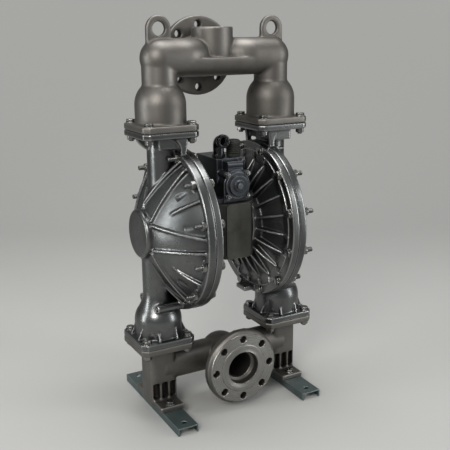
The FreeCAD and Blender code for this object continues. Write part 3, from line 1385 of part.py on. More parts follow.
def joint_fasteners():
    """Bolts and nuts of the four square joints."""
    levels = (
        ("upper", d.upper_column, d.upper_joint + d.manifold_plate, d.upper_joint - d.cap_plate),
        ("lower", d.lower_column, d.lower_joint + d.cap_plate, d.lower_joint - d.manifold_plate))
    for level, column, top, low in levels:
        bolts = []
        nuts = []
        for sign in (-1, 1):
            for index, (across, deep) in enumerate(corner_places(sign * column)):
                tag = "%s_%d_%d" % (level, sign + 1, index)
                long = top - low + d.nut_tall + d.stud_end
                bolts.append(bolt("joint_bolt_" + tag, (across, deep, top), ALONG_Z, long))
                nuts.append(nut("joint_nut_" + tag, (across, deep, low), -ALONG_Z))
        keep("%s_joint_bolts" % level, group("%s_joint_bolts" % level, bolts))
        keep("%s_joint_nuts" % level, group("%s_joint_nuts" % level, nuts))


def ring_fasteners():
    """Bolts and nuts round the clamping rings, with long bolts in the tapped lower bosses."""
    head_face = d.seam_reach - d.chamber_ring
    ring_face = d.seam_reach + d.cap_ring
    short = ring_face - head_face + d.nut_tall + d.ring_stud
    long = d.stud_boss_reach - head_face + d.stud_flush
    for side_name, sign in (("right", 1), ("left", -1)):
        bolts = []
        nuts = []
        for angle in RING_BOLT_ANGLES:
            across = -d.bolt_circle * math.cos(math.radians(angle))
            rise = d.rod_rise + d.bolt_circle * math.sin(math.radians(angle))
            tag = "%s_%d" % (side_name, angle)
            tapped = angle in STUD_ANGLES
            bolts.append(bolt("ring_bolt_" + tag, (sign * head_face, across, rise), ALONG_X * -sign,
                              long if tapped else short))
            if not tapped:
                nuts.append(nut("ring_nut_" + tag, (sign * ring_face, across, rise), ALONG_X * sign))
        keep("ring_bolts_" + side_name, group("ring_bolts_" + side_name, bolts))
        keep("ring_nuts_" + side_name, group("ring_nuts_" + side_name, nuts))


def foot_fasteners():
    """Bolts that hold the feet on the rails, with nuts inside the channels."""
    bolts = []
    nuts = []
    top = d.rail_tall + d.pad_thick
    under = d.rail_tall - d.rail_wall
    for sign in (-1, 1):
        for way in (-1, 1):
            tag = "%d_%d" % (sign + 1, way + 1)
            at = (sign * d.rail_side, way * d.pad_bolt, top)
            bolts.append(bolt("foot_bolt_" + tag, at, ALONG_Z, top - under + d.nut_tall))
            nuts.append(nut("foot_nut_" + tag, (sign * d.rail_side, way * d.pad_bolt, under), -ALONG_Z))
    keep("foot_bolts", group("foot_bolts", bolts))
    keep("foot_nuts", group("foot_nuts", nuts))


def finish():
    """Recompute, check every object and write the pieces."""
    doc.recompute()
    faults = [thing.Name for thing in doc.Objects if "Invalid" in thing.State or "Error" in thing.State]
    if faults:
        raise RuntimeError("failed objects: " + ", ".join(faults))
    for piece in nodes:
        if piece.Shape.isNull() or not piece.Shape.isValid():
            raise RuntimeError("bad shape: " + piece.Label)
    os.makedirs("parts", exist_ok=True)
    for piece in nodes:
        piece.Shape.exportStep("parts/%s.step" % piece.Label)
        print("%s: %d solids" % (piece.Label, len(piece.Shape.Solids)))


base_rails()
inlet_manifold()
outlet_manifold()
fluid_cap()
air_chamber()
centre_body()
moving_core()
check_valves()
air_valve()
air_fittings()
joint_fasteners()
ring_fasteners()
foot_fasteners()
finish()
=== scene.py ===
# %% [markdown]
# An air operated diaphragm pump, dressed for a studio picture. The exact solids
# come in as a fixed frame. The castings get soft copies, because sand casting
# rounds every edge, and small machined pieces are worked out as new surfaces.

# %% Load the frame
import json
import math

import bmesh
import bpy
import numpy as np
from mathutils import Matrix, Vector


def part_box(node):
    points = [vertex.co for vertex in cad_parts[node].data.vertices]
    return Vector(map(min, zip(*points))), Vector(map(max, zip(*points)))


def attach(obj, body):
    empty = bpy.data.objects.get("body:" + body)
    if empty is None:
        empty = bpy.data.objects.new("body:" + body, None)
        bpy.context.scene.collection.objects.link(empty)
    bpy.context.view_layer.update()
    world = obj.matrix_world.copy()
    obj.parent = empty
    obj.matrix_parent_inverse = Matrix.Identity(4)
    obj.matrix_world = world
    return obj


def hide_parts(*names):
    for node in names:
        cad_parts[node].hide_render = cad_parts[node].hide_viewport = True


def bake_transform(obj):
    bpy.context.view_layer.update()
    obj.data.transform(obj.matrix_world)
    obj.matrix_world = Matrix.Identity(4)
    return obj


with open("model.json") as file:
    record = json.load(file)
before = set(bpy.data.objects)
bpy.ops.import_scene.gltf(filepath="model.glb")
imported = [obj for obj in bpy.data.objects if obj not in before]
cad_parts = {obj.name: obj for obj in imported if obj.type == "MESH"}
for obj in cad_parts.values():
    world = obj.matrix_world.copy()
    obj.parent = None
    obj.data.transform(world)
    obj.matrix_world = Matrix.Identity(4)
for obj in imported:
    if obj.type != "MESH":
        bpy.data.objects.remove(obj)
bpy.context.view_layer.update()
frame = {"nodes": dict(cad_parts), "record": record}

# %% [markdown]
# Every new piece is a mesh whose points already stand in the pump's own frame,
# in metres. One helper turns an array of points and a list of quads into an
# object, and says which body it rides on and which finish it takes. The points
# come from turned profiles and from grids, as arrays worked out in one go.

# %% Helpers for new pieces
MM = 0.001
TAU = math.tau
MERGE = 1e-6          # points closer than this, in metres, are one


def merged(mesh):
    """An editable copy of a mesh in which points that meet are one."""
    shape = bmesh.new()
    shape.from_mesh(mesh)
    bmesh.ops.remove_doubles(shape, verts=shape.verts, dist=MERGE)
    return shape


def put_in_scene(name, data):
    """A new object in the scene for a mesh, a light or a lens."""
    thing = bpy.data.objects.new(name, data)
    bpy.context.collection.objects.link(thing)
    return thing


def new_piece(name, points, faces, body="pump", slot="fastener_steel", material=None):
    """Makes an object from points in metres and faces, rows of point numbers. Points that meet are merged
    and faces turned outwards."""
    mesh = bpy.data.meshes.new(name)
    points = np.asarray(points, dtype=np.float32)
    faces = np.asarray(faces, dtype=np.int32)
    mesh.vertices.add(len(points))
    mesh.vertices.foreach_set("co", points.ravel())
    mesh.loops.add(faces.size)
    mesh.loops.foreach_set("vertex_index", faces.ravel())
    mesh.polygons.add(len(faces))
    mesh.polygons.foreach_set("loop_start", np.arange(0, faces.size, faces.shape[1], dtype=np.int32))
    mesh.polygons.foreach_set("use_smooth", np.ones(len(faces), dtype=bool))
    mesh.update(calc_edges=True)
    shape = merged(mesh)
    bmesh.ops.recalc_face_normals(shape, faces=shape.faces)
    shape.to_mesh(mesh)
    shape.free()
    mesh.materials.append(FINISHES[slot] if material is None else material)
    piece = put_in_scene(name, mesh)
    if body is not None:
        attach(piece, body)
    return piece


def grid_faces(rows, columns):
    """Quads of a grid that is open along its rows and closed round its columns."""
    row = np.arange(rows - 1)[:, None]
    column = np.arange(columns)[None, :]
    after = (column + 1) % columns
    a = row * columns + column
    b = row * columns + after
    quads = np.stack([a, b, b + columns, a + columns], axis=-1)
    return quads.reshape(-1, 4)


def turning_frame(along):
    """Rows: two unit vectors square to a direction and to each other, then the direction itself."""
    along = np.asarray(along, dtype=float)
    along = along / np.linalg.norm(along)
    helper = np.array([0.0, 0.0, 1.0]) if abs(along[2]) < 0.9 else np.array([1.0, 0.0, 0.0])
    side = np.cross(helper, along)
    side = side / np.linalg.norm(side)
    return np.stack([side, np.cross(along, side), along])


def revolve(profile, centre, along, segments, reach=None):
    """A turned surface: at angle t and profile point (r, z) the point is centre + r cos t side
    + r sin t up + z along. Where reach is given, no radius is longer than reach at its angle."""
    profile = np.asarray(profile, dtype=float) * MM
    angle = np.arange(segments) * TAU / segments
    radius = np.repeat(profile[:, :1], segments, axis=1)
    if reach is not None:
        radius = np.minimum(radius, reach(angle)[None, :] * MM)
    side, up, axis = turning_frame(along)
    outward = np.cos(angle)[None, :, None] * side + np.sin(angle)[None, :, None] * up
    points = radius[..., None] * outward + profile[:, 1][:, None, None] * axis
    return points.reshape(-1, 3) + np.asarray(centre), grid_faces(len(profile), segments)


def hexagon(half, turn=0.0):
    """Reach of a hexagon at an angle: half its width over the cosine of the angle from the nearest flat's
    middle."""
    return lambda angle: half / np.cos((angle + turn) % (TAU / 6) - TAU / 12)


def gather(parts):
    """Joins (points, faces) pairs into one, with the face numbers moved on."""
    points, faces, start = [], [], 0
    for some_points, some_faces in parts:
        points.append(some_points)
        faces.append(some_faces + start)
        start += len(some_points)
    return np.concatenate(points), np.concatenate(faces)


print("helpers ready")

# %% [markdown]
# Metal never shows one flat colour. What makes it look real is shared by many
# finishes here, so each effect is a node group, made once and placed in every
# material with its own values. Short helpers keep the nodes readable.

# %% Helpers for shader nodes
def new_group(name, inputs, outputs):
    """An empty shader node group with named sockets, its input node and its output node."""
    tree = bpy.data.node_groups.new(name, "ShaderNodeTree")
    for socket, kind, value in inputs:
        made = tree.interface.new_socket(socket, in_out="INPUT", socket_type=kind)
        if value is not None:
            made.default_value = value
    for socket, kind in outputs:
        tree.interface.new_socket(socket, in_out="OUTPUT", socket_type=kind)
    return tree, tree.nodes.new("NodeGroupInput"), tree.nodes.new("NodeGroupOutput")


def feed(tree, value, socket):
    """Sets a socket to a number or a colour, or links another socket to it."""
    if isinstance(value, (int, float)):
        socket.default_value = value
    elif isinstance(value, tuple):
        socket.default_value = (*value, 1.0)
    else:
        tree.links.new(value, socket)


def noise(tree, vector, scale, detail=3.0, rough=0.55):
    """A noise texture fed by a vector; its factor is returned."""
    node = tree.nodes.new("ShaderNodeTexNoise")
    tree.links.new(vector, node.inputs["Vector"])
    feed(tree, scale, node.inputs["Scale"])
    node.inputs["Detail"].default_value = detail
    node.inputs["Roughness"].default_value = rough
    return node.outputs["Fac"]


def maths(tree, kind, *values, clamp=False):
    """A math node of numbers or sockets."""
    node = tree.nodes.new("ShaderNodeMath")
    node.operation = kind
    node.use_clamp = clamp
    for slot, value in enumerate(values):
        feed(tree, value, node.inputs[slot])
    return node.outputs[0]


def spread(tree, value, low, high, to_low=0.0, to_high=1.0):
    """Maps a value from one range to another and clamps it."""
    node = tree.nodes.new("ShaderNodeMapRange")
    tree.links.new(value, node.inputs["Value"])
    for socket, number in zip(("From Min", "From Max", "To Min", "To Max"), (low, high, to_low, to_high)):
        node.inputs[socket].default_value = number
    return node.outputs["Result"]


print("node helpers ready")

# %% [markdown]
# The skin of sand cast metal is fine grain over soft waves, with broad cloudy
# patches and long upright streaks where it has run wet. The group gives these as
# masks, so that each finish decides how much of each it shows.

# %% Skin of a casting
def make_cast_skin():
    """Height = fine grain plus soft waves; Tone = broad patches with a little grain; Streak = noise
    that is stretched along Z."""
    tree, entry, exit_node = new_group(
        "Cast skin",
        [("Coordinates", "NodeSocketVector", None), ("Grain scale", "NodeSocketFloat", 800.0),
         ("Wave scale", "NodeSocketFloat", 60.0), ("Wave share", "NodeSocketFloat", 0.4)],
        [("Height", "NodeSocketFloat"), ("Tone", "NodeSocketFloat"), ("Streak", "NodeSocketFloat")])
    where = entry.outputs["Coordinates"]
    grain = noise(tree, where, entry.outputs["Grain scale"], detail=2.0)
    wave = noise(tree, where, entry.outputs["Wave scale"], detail=3.0)
    height = maths(tree, "MULTIPLY_ADD", wave, entry.outputs["Wave share"], grain)
    tree.links.new(height, exit_node.inputs["Height"])
    patch = noise(tree, where, scale=9.0, detail=5.0, rough=0.6)
    tone = maths(tree, "MULTIPLY_ADD", grain, 0.18, spread(tree, patch, 0.3, 0.7))
    tree.links.new(maths(tree, "MULTIPLY", tone, 0.85, clamp=True), exit_node.inputs["Tone"])
    stretch = tree.nodes.new("ShaderNodeMapping")
    stretch.inputs["Scale"].default_value = (26.0, 26.0, 3.0)
    tree.links.new(where, stretch.inputs["Vector"])
    run = noise(tree, stretch.outputs["Vector"], scale=1.0, detail=4.0)
    tree.links.new(spread(tree, run, 0.42, 0.68), exit_node.inputs["Streak"])
    return tree


CAST_SKIN = make_cast_skin()
print("effect:", CAST_SKIN.name)

# %% [markdown]
# Wear and painted light show on metal in three ways. Edges are rubbed bright where
# hands and slings touch, which the Bevel node finds. Hollows are darkened as painted
# shade, found by ambient occlusion, and crests are brightened partly as wear and partly
# as painted highlight, found by pointiness. And a turned face keeps the fine rings of the lathe.

# %% Rub, rings and relief
EDGE_SAMPLES = 4      # rays that the Bevel node spends on a rounded edge


def make_edge_rub():
    """Mask = how far the rounded normal of the edge leans away from the face's own normal."""
    tree, entry, exit_node = new_group(
        "Edge rub", [("Width", "NodeSocketFloat", 0.002), ("Gain", "NodeSocketFloat", 6.0)],
        [("Mask", "NodeSocketFloat")])
    bevel = tree.nodes.new("ShaderNodeBevel")
    bevel.samples = EDGE_SAMPLES
    tree.links.new(entry.outputs["Width"], bevel.inputs["Radius"])
    geometry = tree.nodes.new("ShaderNodeNewGeometry")
    dot = tree.nodes.new("ShaderNodeVectorMath")
    dot.operation = "DOT_PRODUCT"
    tree.links.new(bevel.outputs["Normal"], dot.inputs[0])
    tree.links.new(geometry.outputs["Normal"], dot.inputs[1])
    lean = maths(tree, "SUBTRACT", 1.0, dot.outputs["Value"])
    mask = maths(tree, "MULTIPLY", lean, entry.outputs["Gain"], clamp=True)
    tree.links.new(mask, exit_node.inputs["Mask"])
    return tree


def make_lathe_rings():
    """Rings about an axis along Y: Height = a fine wave of the distance from that axis; Tone = noise
    of the same distance."""
    tree, entry, exit_node = new_group(
        "Lathe rings", [("Coordinates", "NodeSocketVector", None), ("Centre height", "NodeSocketFloat", 0.0),
                        ("Rings per metre", "NodeSocketFloat", 900.0)],
        [("Height", "NodeSocketFloat"), ("Tone", "NodeSocketFloat")])
    split = tree.nodes.new("ShaderNodeSeparateXYZ")
    tree.links.new(entry.outputs["Coordinates"], split.inputs[0])
    rise = maths(tree, "SUBTRACT", split.outputs["Z"], entry.outputs["Centre height"])
    square = maths(tree, "MULTIPLY", rise, rise)
    total = maths(tree, "MULTIPLY_ADD", split.outputs["X"], split.outputs["X"], square)
    distance = maths(tree, "SQRT", total)
    phase = maths(tree, "MULTIPLY", distance, entry.outputs["Rings per metre"])
    wave = maths(tree, "SINE", maths(tree, "MULTIPLY", phase, TAU))
    tree.links.new(wave, exit_node.inputs["Height"])
    ring = tree.nodes.new("ShaderNodeTexNoise")
    ring.noise_dimensions = "1D"
    tree.links.new(distance, ring.inputs["W"])
    ring.inputs["Scale"].default_value = 420.0
    tree.links.new(ring.outputs["Fac"], exit_node.inputs["Tone"])
    return tree


def make_relief_wear_and_shade():
    """Crest = how far the surface bulges; Recess = how much its own casting shades it within a reach."""
    tree, entry, exit_node = new_group("Relief wear and painted light", [("Reach", "NodeSocketFloat", 0.03)],
                                       [("Crest", "NodeSocketFloat"), ("Recess", "NodeSocketFloat")])
    geometry = tree.nodes.new("ShaderNodeNewGeometry")
    # Crest mask: bulges, which later take the rubbed colour as wear and painted highlight.
    crest = spread(tree, geometry.outputs["Pointiness"], 0.51, 0.57)
    tree.links.new(crest, exit_node.inputs["Crest"])
    # Recess mask: hollows shaded by the casting itself, which later are darkened as painted shade.
    shade = tree.nodes.new("ShaderNodeAmbientOcclusion")
    shade.samples = 6
    shade.only_local = True
    tree.links.new(entry.outputs["Reach"], shade.inputs["Distance"])
    recess = spread(tree, shade.outputs["AO"], 0.3, 0.92, to_low=1.0, to_high=0.0)
    tree.links.new(recess, exit_node.inputs["Recess"])
    return tree


EDGE_RUB = make_edge_rub()
LATHE_RINGS = make_lathe_rings()
RELIEF_WEAR_AND_SHADE = make_relief_wear_and_shade()
print("effects:", [tree.name for tree in bpy.data.node_groups])

# %% [markdown]
# A finish is then a short recipe: two colours that the patches move between, a
# third that shows on rubbed edges and as painted highlight on crests, a roughness range, and how deep the
# grain is.
# The rounded normal of the Bevel node softens the sharp edges of the solids.

# %% Helpers for finishes
def place_group(tree, group, coordinates=None, **values):
    """Places a shared effect in a material with its own values."""
    node = tree.nodes.new("ShaderNodeGroup")
    node.node_tree = group
    for name, value in values.items():
        node.inputs[name.replace("_", " ")].default_value = value
    if coordinates is not None:
        tree.links.new(coordinates, node.inputs["Coordinates"])
    return node


def blend_colours(tree, factor, first, second):
    """Mixes two colours by a factor; a colour is a tuple or a socket."""
    node = tree.nodes.new("ShaderNodeMix")
    node.data_type = "RGBA"
    tree.links.new(factor, node.inputs["Factor"])
    feed(tree, first, node.inputs[6])
    feed(tree, second, node.inputs[7])
    return node.outputs[2]


print("finish helpers ready")

# %% One function for every finish
GRAIN_DEPTH = 0.0006      # metres that the grain stands for at full strength
COAT_ROUGHNESS = 0.25
PAINTED_SHADE_TONE = 0.2          # painted shade in hollows is this share of the dark colour
RECESS_ROUGHNESS = 0.25    # and this much rougher


def finish(name, light, dark, rubbed_and_highlight, rough, metallic=1.0, grain=800.0, wave=60.0, wave_share=0.4,
           relief=0.2, round_edge=0.0015, rub=5.0, streak=0.0, coat=0.0, recess=0.0, crest=0.0, reach=0.03):
    """A procedural material. Rough is the lowest and the highest roughness. Rub, streak, crest and recess
    say how much of each effect shows, relief how much of the grain is felt, and reach how wide a hollow
    counts as a recess. Lengths are in metres."""
    material = bpy.data.materials.new(name)
    material.use_nodes = True
    tree = material.node_tree
    tree.nodes.clear()
    output = tree.nodes.new("ShaderNodeOutputMaterial")
    shader = tree.nodes.new("ShaderNodeBsdfPrincipled")
    tree.links.new(shader.outputs["BSDF"], output.inputs["Surface"])
    where = tree.nodes.new("ShaderNodeTexCoord").outputs["Object"]
    skin = place_group(tree, CAST_SKIN, where, Grain_scale=grain, Wave_scale=wave, Wave_share=wave_share)
    colour = blend_colours(tree, skin.outputs["Tone"], dark, light)
    if streak:
        streaked = maths(tree, "MULTIPLY", skin.outputs["Streak"], streak)
        colour = blend_colours(tree, streaked, colour, dark)
    if rub:
        edge = place_group(tree, EDGE_RUB, Width=round_edge, Gain=rub)
        colour = blend_colours(tree, edge.outputs["Mask"], colour, rubbed_and_highlight)
    roughness = spread(tree, skin.outputs["Tone"], 0.0, 1.0, rough[1], rough[0])
    # Crests take the rubbed colour, partly as wear and partly as painted highlight; hollows are darkened as
    # painted shade and made rougher.
    if recess or crest:
        crest_and_hollow = place_group(tree, RELIEF_WEAR_AND_SHADE, Reach=reach)
        crest_wear_and_highlight = maths(tree, "MULTIPLY", crest_and_hollow.outputs["Crest"], crest)
        colour = blend_colours(tree, crest_wear_and_highlight, colour, rubbed_and_highlight)
        painted_shade = maths(tree, "MULTIPLY", crest_and_hollow.outputs["Recess"], recess)
        colour = blend_colours(tree, painted_shade, colour, tuple(PAINTED_SHADE_TONE * part for part in dark))
        roughness = maths(tree, "MULTIPLY_ADD", painted_shade, RECESS_ROUGHNESS, roughness)
    tree.links.new(colour, shader.inputs["Base Color"])
    tree.links.new(roughness, shader.inputs["Roughness"])
    shader.inputs["Metallic"].default_value = metallic
    shader.inputs["Coat Weight"].default_value = coat
    shader.inputs["Coat Roughness"].default_value = COAT_ROUGHNESS
    bump = tree.nodes.new("ShaderNodeBump")
    bump.inputs["Strength"].default_value = relief
    bump.inputs["Distance"].default_value = GRAIN_DEPTH
    tree.links.new(skin.outputs["Height"], bump.inputs["Height"])
    bevel = tree.nodes.new("ShaderNodeBevel")
    bevel.samples = EDGE_SAMPLES
    bevel.inputs["Radius"].default_value = round_edge
    tree.links.new(bevel.outputs["Normal"], bump.inputs["Normal"])
    tree.links.new(bump.outputs["Normal"], shader.inputs["Normal"])
    return material


print("finish function ready")

# %% Recipes of the finishes
# Crest is how much crests take the third colour as wear and painted highlight; recess is how much hollows are
# darkened as painted shade.
RECIPES = {
    "manifold_steel": dict(
        light=(0.3, 0.284, 0.262), dark=(0.175, 0.164, 0.148), rubbed_and_highlight=(0.5, 0.48, 0.446),
        rough=(0.42, 0.56), grain=900.0, wave=70.0, relief=0.28, round_edge=0.0025, rub=2.0, streak=0.3,
        recess=0.85, crest=0.5),
    "cap_steel": dict(
        light=(0.27, 0.277, 0.273), dark=(0.1, 0.105, 0.105), rubbed_and_highlight=(0.74, 0.74, 0.73), rough=(0.22, 0.36),
        grain=420.0, wave=45.0, wave_share=0.8, relief=0.22, round_edge=0.002, rub=3.0, recess=0.9,
        crest=0.8),
    "chamber_steel": dict(
        light=(0.32, 0.327, 0.322), dark=(0.15, 0.155, 0.153), rubbed_and_highlight=(0.72, 0.72, 0.71),
        rough=(0.22, 0.38), grain=420.0, wave=45.0, relief=0.24, rub=3.0, recess=0.95, crest=0.9, reach=0.04),
    "centre_alloy": dict(
        light=(0.19, 0.187, 0.168), dark=(0.045, 0.045, 0.039), rubbed_and_highlight=(0.28, 0.28, 0.26),
        rough=(0.42, 0.6), metallic=0.6, grain=500.0, relief=0.3, rub=2.0, streak=0.5),
    "valve_alloy": dict(
        light=(0.125, 0.135, 0.15), dark=(0.06, 0.066, 0.076), rubbed_and_highlight=(0.4, 0.42, 0.45), rough=(0.26, 0.42),
        grain=700.0, relief=0.25, round_edge=0.0012, rub=4.0, recess=0.9, crest=0.5, reach=0.012),
    "rod_steel": dict(
        light=(0.62, 0.62, 0.62), dark=(0.55, 0.55, 0.55), rubbed_and_highlight=(0.7, 0.7, 0.7), rough=(0.12, 0.2),
        grain=300.0, relief=0.03, round_edge=0.0005, rub=1.0),
    "plate_steel": dict(
        light=(0.5, 0.5, 0.49), dark=(0.4, 0.4, 0.39), rubbed_and_highlight=(0.6, 0.6, 0.6), rough=(0.3, 0.4),
        grain=500.0, relief=0.08, round_edge=0.0005, rub=1.0),
    "fastener_steel": dict(
        light=(0.42, 0.42, 0.405), dark=(0.22, 0.22, 0.21), rubbed_and_highlight=(0.65, 0.65, 0.63), rough=(0.2, 0.34),
        grain=900.0, relief=0.08, round_edge=0.0004, rub=2.0),
    "elbow_steel": dict(
        light=(0.055, 0.057, 0.06), dark=(0.022, 0.024, 0.026), rubbed_and_highlight=(0.3, 0.3, 0.3), rough=(0.16, 0.28),
        relief=0.1, round_edge=0.0006, rub=2.0, coat=0.5),
    "rail_zinc": dict(
        light=(0.255, 0.31, 0.305), dark=(0.13, 0.185, 0.188), rubbed_and_highlight=(0.5, 0.6, 0.585), rough=(0.34, 0.5),
        metallic=0.85, grain=260.0, wave=30.0, relief=0.1, round_edge=0.002, rub=6.0, streak=0.5),
    "bush_bronze": dict(
        light=(0.5, 0.36, 0.16), dark=(0.36, 0.25, 0.1), rubbed_and_highlight=(0.6, 0.45, 0.2), rough=(0.3, 0.45),
        relief=0.1, round_edge=0.0005, rub=1.0),
    "seal_rubber": dict(
        light=(0.035, 0.035, 0.035), dark=(0.02, 0.02, 0.02), rubbed_and_highlight=(0.06, 0.06, 0.06), rough=(0.5, 0.7),
        metallic=0.0, relief=0.2, round_edge=0.0005, rub=1.0),
    "sheet_rubber": dict(
        light=(0.045, 0.045, 0.045), dark=(0.025, 0.025, 0.025), rubbed_and_highlight=(0.08, 0.08, 0.08),
        rough=(0.55, 0.75), metallic=0.0, grain=1400.0, relief=0.3, round_edge=0.001, rub=1.0),
    "ball_rubber": dict(
        light=(0.06, 0.06, 0.06), dark=(0.04, 0.04, 0.04), rubbed_and_highlight=(0.1, 0.1, 0.1), rough=(0.45, 0.6),
        metallic=0.0, relief=0.1, round_edge=0.0005, rub=0.0),
    "muffler_plastic": dict(
        light=(0.036, 0.037, 0.03), dark=(0.016, 0.017, 0.013), rubbed_and_highlight=(0.09, 0.09, 0.075),
        rough=(0.5, 0.7), metallic=0.0, grain=1600.0, relief=0.8, round_edge=0.0006, rub=1.0),
    "thread_steel": dict(
        light=(0.26, 0.26, 0.25), dark=(0.12, 0.12, 0.115), rubbed_and_highlight=(0.45, 0.45, 0.44), rough=(0.24, 0.38),
        grain=900.0, relief=0.08, round_edge=0.0004, rub=1.0),
}
FINISHES = {name: finish(name, **recipe) for name, recipe in RECIPES.items()}
print("finishes:", len(FINISHES))

# %% Put the finishes on the solids
slot_of = {entry["node"]: entry["material_slot"] for entry in frame["record"]["subparts"]}
for node, thing in frame["nodes"].items():
    thing.data.materials.clear()
    thing.data.materials.append(FINISHES[slot_of[node]])
print("finished solids:", len(slot_of))

# %% [markdown]
# Sand castings have no sharp edge or corner anywhere. Their soft copies are made
# by filling each solid with small cells, taking the skin of those cells, and
# relaxing it a few times. That rounds edges and fills inside corners at once.
# Where the skin has more triangles than it needs, the flattest are merged.

# %% Soft copies of the castings
MOST_TRIANGLES = 190000   # in one piece


def take_shape(piece):
    """Gives the piece the mesh that its modifiers make, and drops the modifiers."""
    seen = piece.evaluated_get(bpy.context.evaluated_depsgraph_get())
    skin = bpy.data.meshes.new_from_object(seen)
    piece.modifiers.clear()
    piece.data = skin
    return skin


def soft_casting(node, cell, rounds):
    """Replaces a casting by the relaxed skin of its cells. Cell is the size of a cell in millimetres, and
    rounds says how often the skin is relaxed."""
    mesh = bpy.data.meshes.new(node + "_cast")
    shape = merged(frame["nodes"][node].data)
    shape.to_mesh(mesh)
    shape.free()
    piece = put_in_scene(node + "_cast", mesh)
    cells = piece.modifiers.new("cells", "REMESH")
    cells.mode = "VOXEL"
    cells.voxel_size = cell * MM
    relax = piece.modifiers.new("relax", "SMOOTH")
    relax.factor = 0.5
    relax.iterations = rounds
    skin = take_shape(piece)
    triangles = 2 * len(skin.polygons)
    if triangles > MOST_TRIANGLES:
        thin = piece.modifiers.new("thin", "DECIMATE")
        thin.ratio = MOST_TRIANGLES / triangles
        skin = take_shape(piece)
    skin.name = node + "_cast"
    skin.polygons.foreach_set("use_smooth", np.ones(len(skin.polygons), dtype=bool))
    skin.materials.clear()
    skin.materials.append(FINISHES[slot_of[node]])
    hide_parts(node)
    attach(piece, "pump")
    print(piece.name, "triangles", sum(len(face.vertices) - 2 for face in skin.polygons))


for casting, cell, rounds in (("outlet_manifold", 2.5, 5), ("inlet_manifold", 2.4, 3),
                              ("fluid_cap_right", 2.1, 3), ("fluid_cap_left", 2.1, 3),
                              ("air_chamber_right", 1.9, 2), ("air_chamber_left", 1.9, 2),
                              ("air_valve_body", 1.3, 3)):
    soft_casting(casting, cell, rounds)

# %% [markdown]
# Hexagon bolts and nuts are turned first and milled after, so their corners are
# cut by a cone. The same idea gives the shape: a turned profile whose radius is
# held inside a hexagon. Where they go is read from the solids they replace.

# %% Read where the fasteners are
def islands(node):
    """Lowest and highest corner of each separate solid in a node, in metres."""
    shape = merged(frame["nodes"][node].data)
    seen, boxes = set(), []
    for start in shape.verts:
        if start.index in seen:
            continue
        queue, found = [start], []
        seen.add(start.index)
        while queue:
            corner = queue.pop()
            found.append(tuple(corner.co))
            for edge in corner.link_edges:
                other = edge.other_vert(corner)
                if other.index not in seen:
                    seen.add(other.index)
                    queue.append(other)
        found = np.array(found)
        boxes.append((found.min(axis=0), found.max(axis=0)))
    shape.free()
    return boxes


print("bolts in one ring:", len(islands("ring_bolts_right")))

# %% Shapes of heads, nuts and threads
HALF = 9.5            # half the width across flats of an M12 head
HEAD = 8.0            # height of the head
NUT = 10.5            # height of the nut
SHANK = 6.0           # radius of the shank
WASHER = 12.0         # radius of the washer
WASHER_THICK = 1.2
FACE = 0.94           # round face under the head, as a share of the half width
FACE_THICK = 0.7
CORNER = 1.16         # where the cone cuts the corners, as a share too
CONE_END = 0.98       # where the cone ends
CONE_IN = 0.045       # what each row of the cone goes in
CONE_UP = 0.32        # what each row goes up, in millimetres
CONE_ROWS = 5
CHAMFER = 1.0         # depth of the chamfer round a nut's thread
PITCH = 1.75          # rise of the thread in one turn
THREAD_DEPTH = 0.9
ROWS_A_TURN = 5
THREAD_SEGMENTS = 20


def hex_head_profile():
    """Rows (radius, height) of a head: washer face, flats, and a cone that cuts the corners."""
    start = HEAD - 1.3
    cone = [(HALF * (CORNER - CONE_IN * row), start + CONE_UP * row) for row in range(CONE_ROWS)]
    face = [(0.0, 0.0), (HALF * FACE, 0.0), (HALF * FACE, FACE_THICK), (HALF * 1.2, FACE_THICK)]
    return face + cone + [(0.0, HEAD)]


def hex_nut_profile(height, half=HALF):
    """As a head, with both ends cut by the cone and an open chamfer round the thread."""
    low = [(SHANK * 0.8, CHAMFER), (SHANK * 1.12, 0.0)]
    low += [(half * (CONE_END + CONE_IN * row), CONE_UP * row) for row in range(CONE_ROWS)]
    high = [(radius, height - rise) for radius, rise in reversed(low)]
    return low + high


def thread(length, turned):
    """A threaded end: the radius is the shank's less a wave of height over pitch less angle over a turn.
    The free end is chamfered and closed."""
    rows = int(length / PITCH * ROWS_A_TURN)
    height = np.linspace(0.0, length, rows)
    angle = np.arange(THREAD_SEGMENTS) * TAU / THREAD_SEGMENTS
    wave = np.abs(((height[:, None] / PITCH - angle[None, :] / TAU + turned) % 1.0) - 0.5) * 2.0
    chamfer = np.clip((length - height) / 1.2 + 0.72, 0.0, 1.0)
    radius = (SHANK - THREAD_DEPTH * wave) * chamfer[:, None]
    radius[-1] = 0.0
    tall = np.repeat(height[:, None], THREAD_SEGMENTS, 1)
    points = np.stack([radius * np.cos(angle), radius * np.sin(angle), tall], -1)
    return points.reshape(-1, 3) * MM, grid_faces(rows, THREAD_SEGMENTS)


def set_down(points, centre, along):
    """Turns points from their own upright frame to a direction and moves them to a place."""
    return points @ turning_frame(along) + np.asarray(centre)


print("fastener shapes ready")

# %% Bolts and nuts from those places
chance = np.random.default_rng(7)


def fastener_axis(centre, along, outward):
    """The given direction, or else one along X: away from the pump's middle plane where outward is 1,
    and to it where outward is -1."""
    if along is not None:
        return np.asarray(along, dtype=float)
    return np.array([outward * np.sign(centre[0]), 0.0, 0.0])


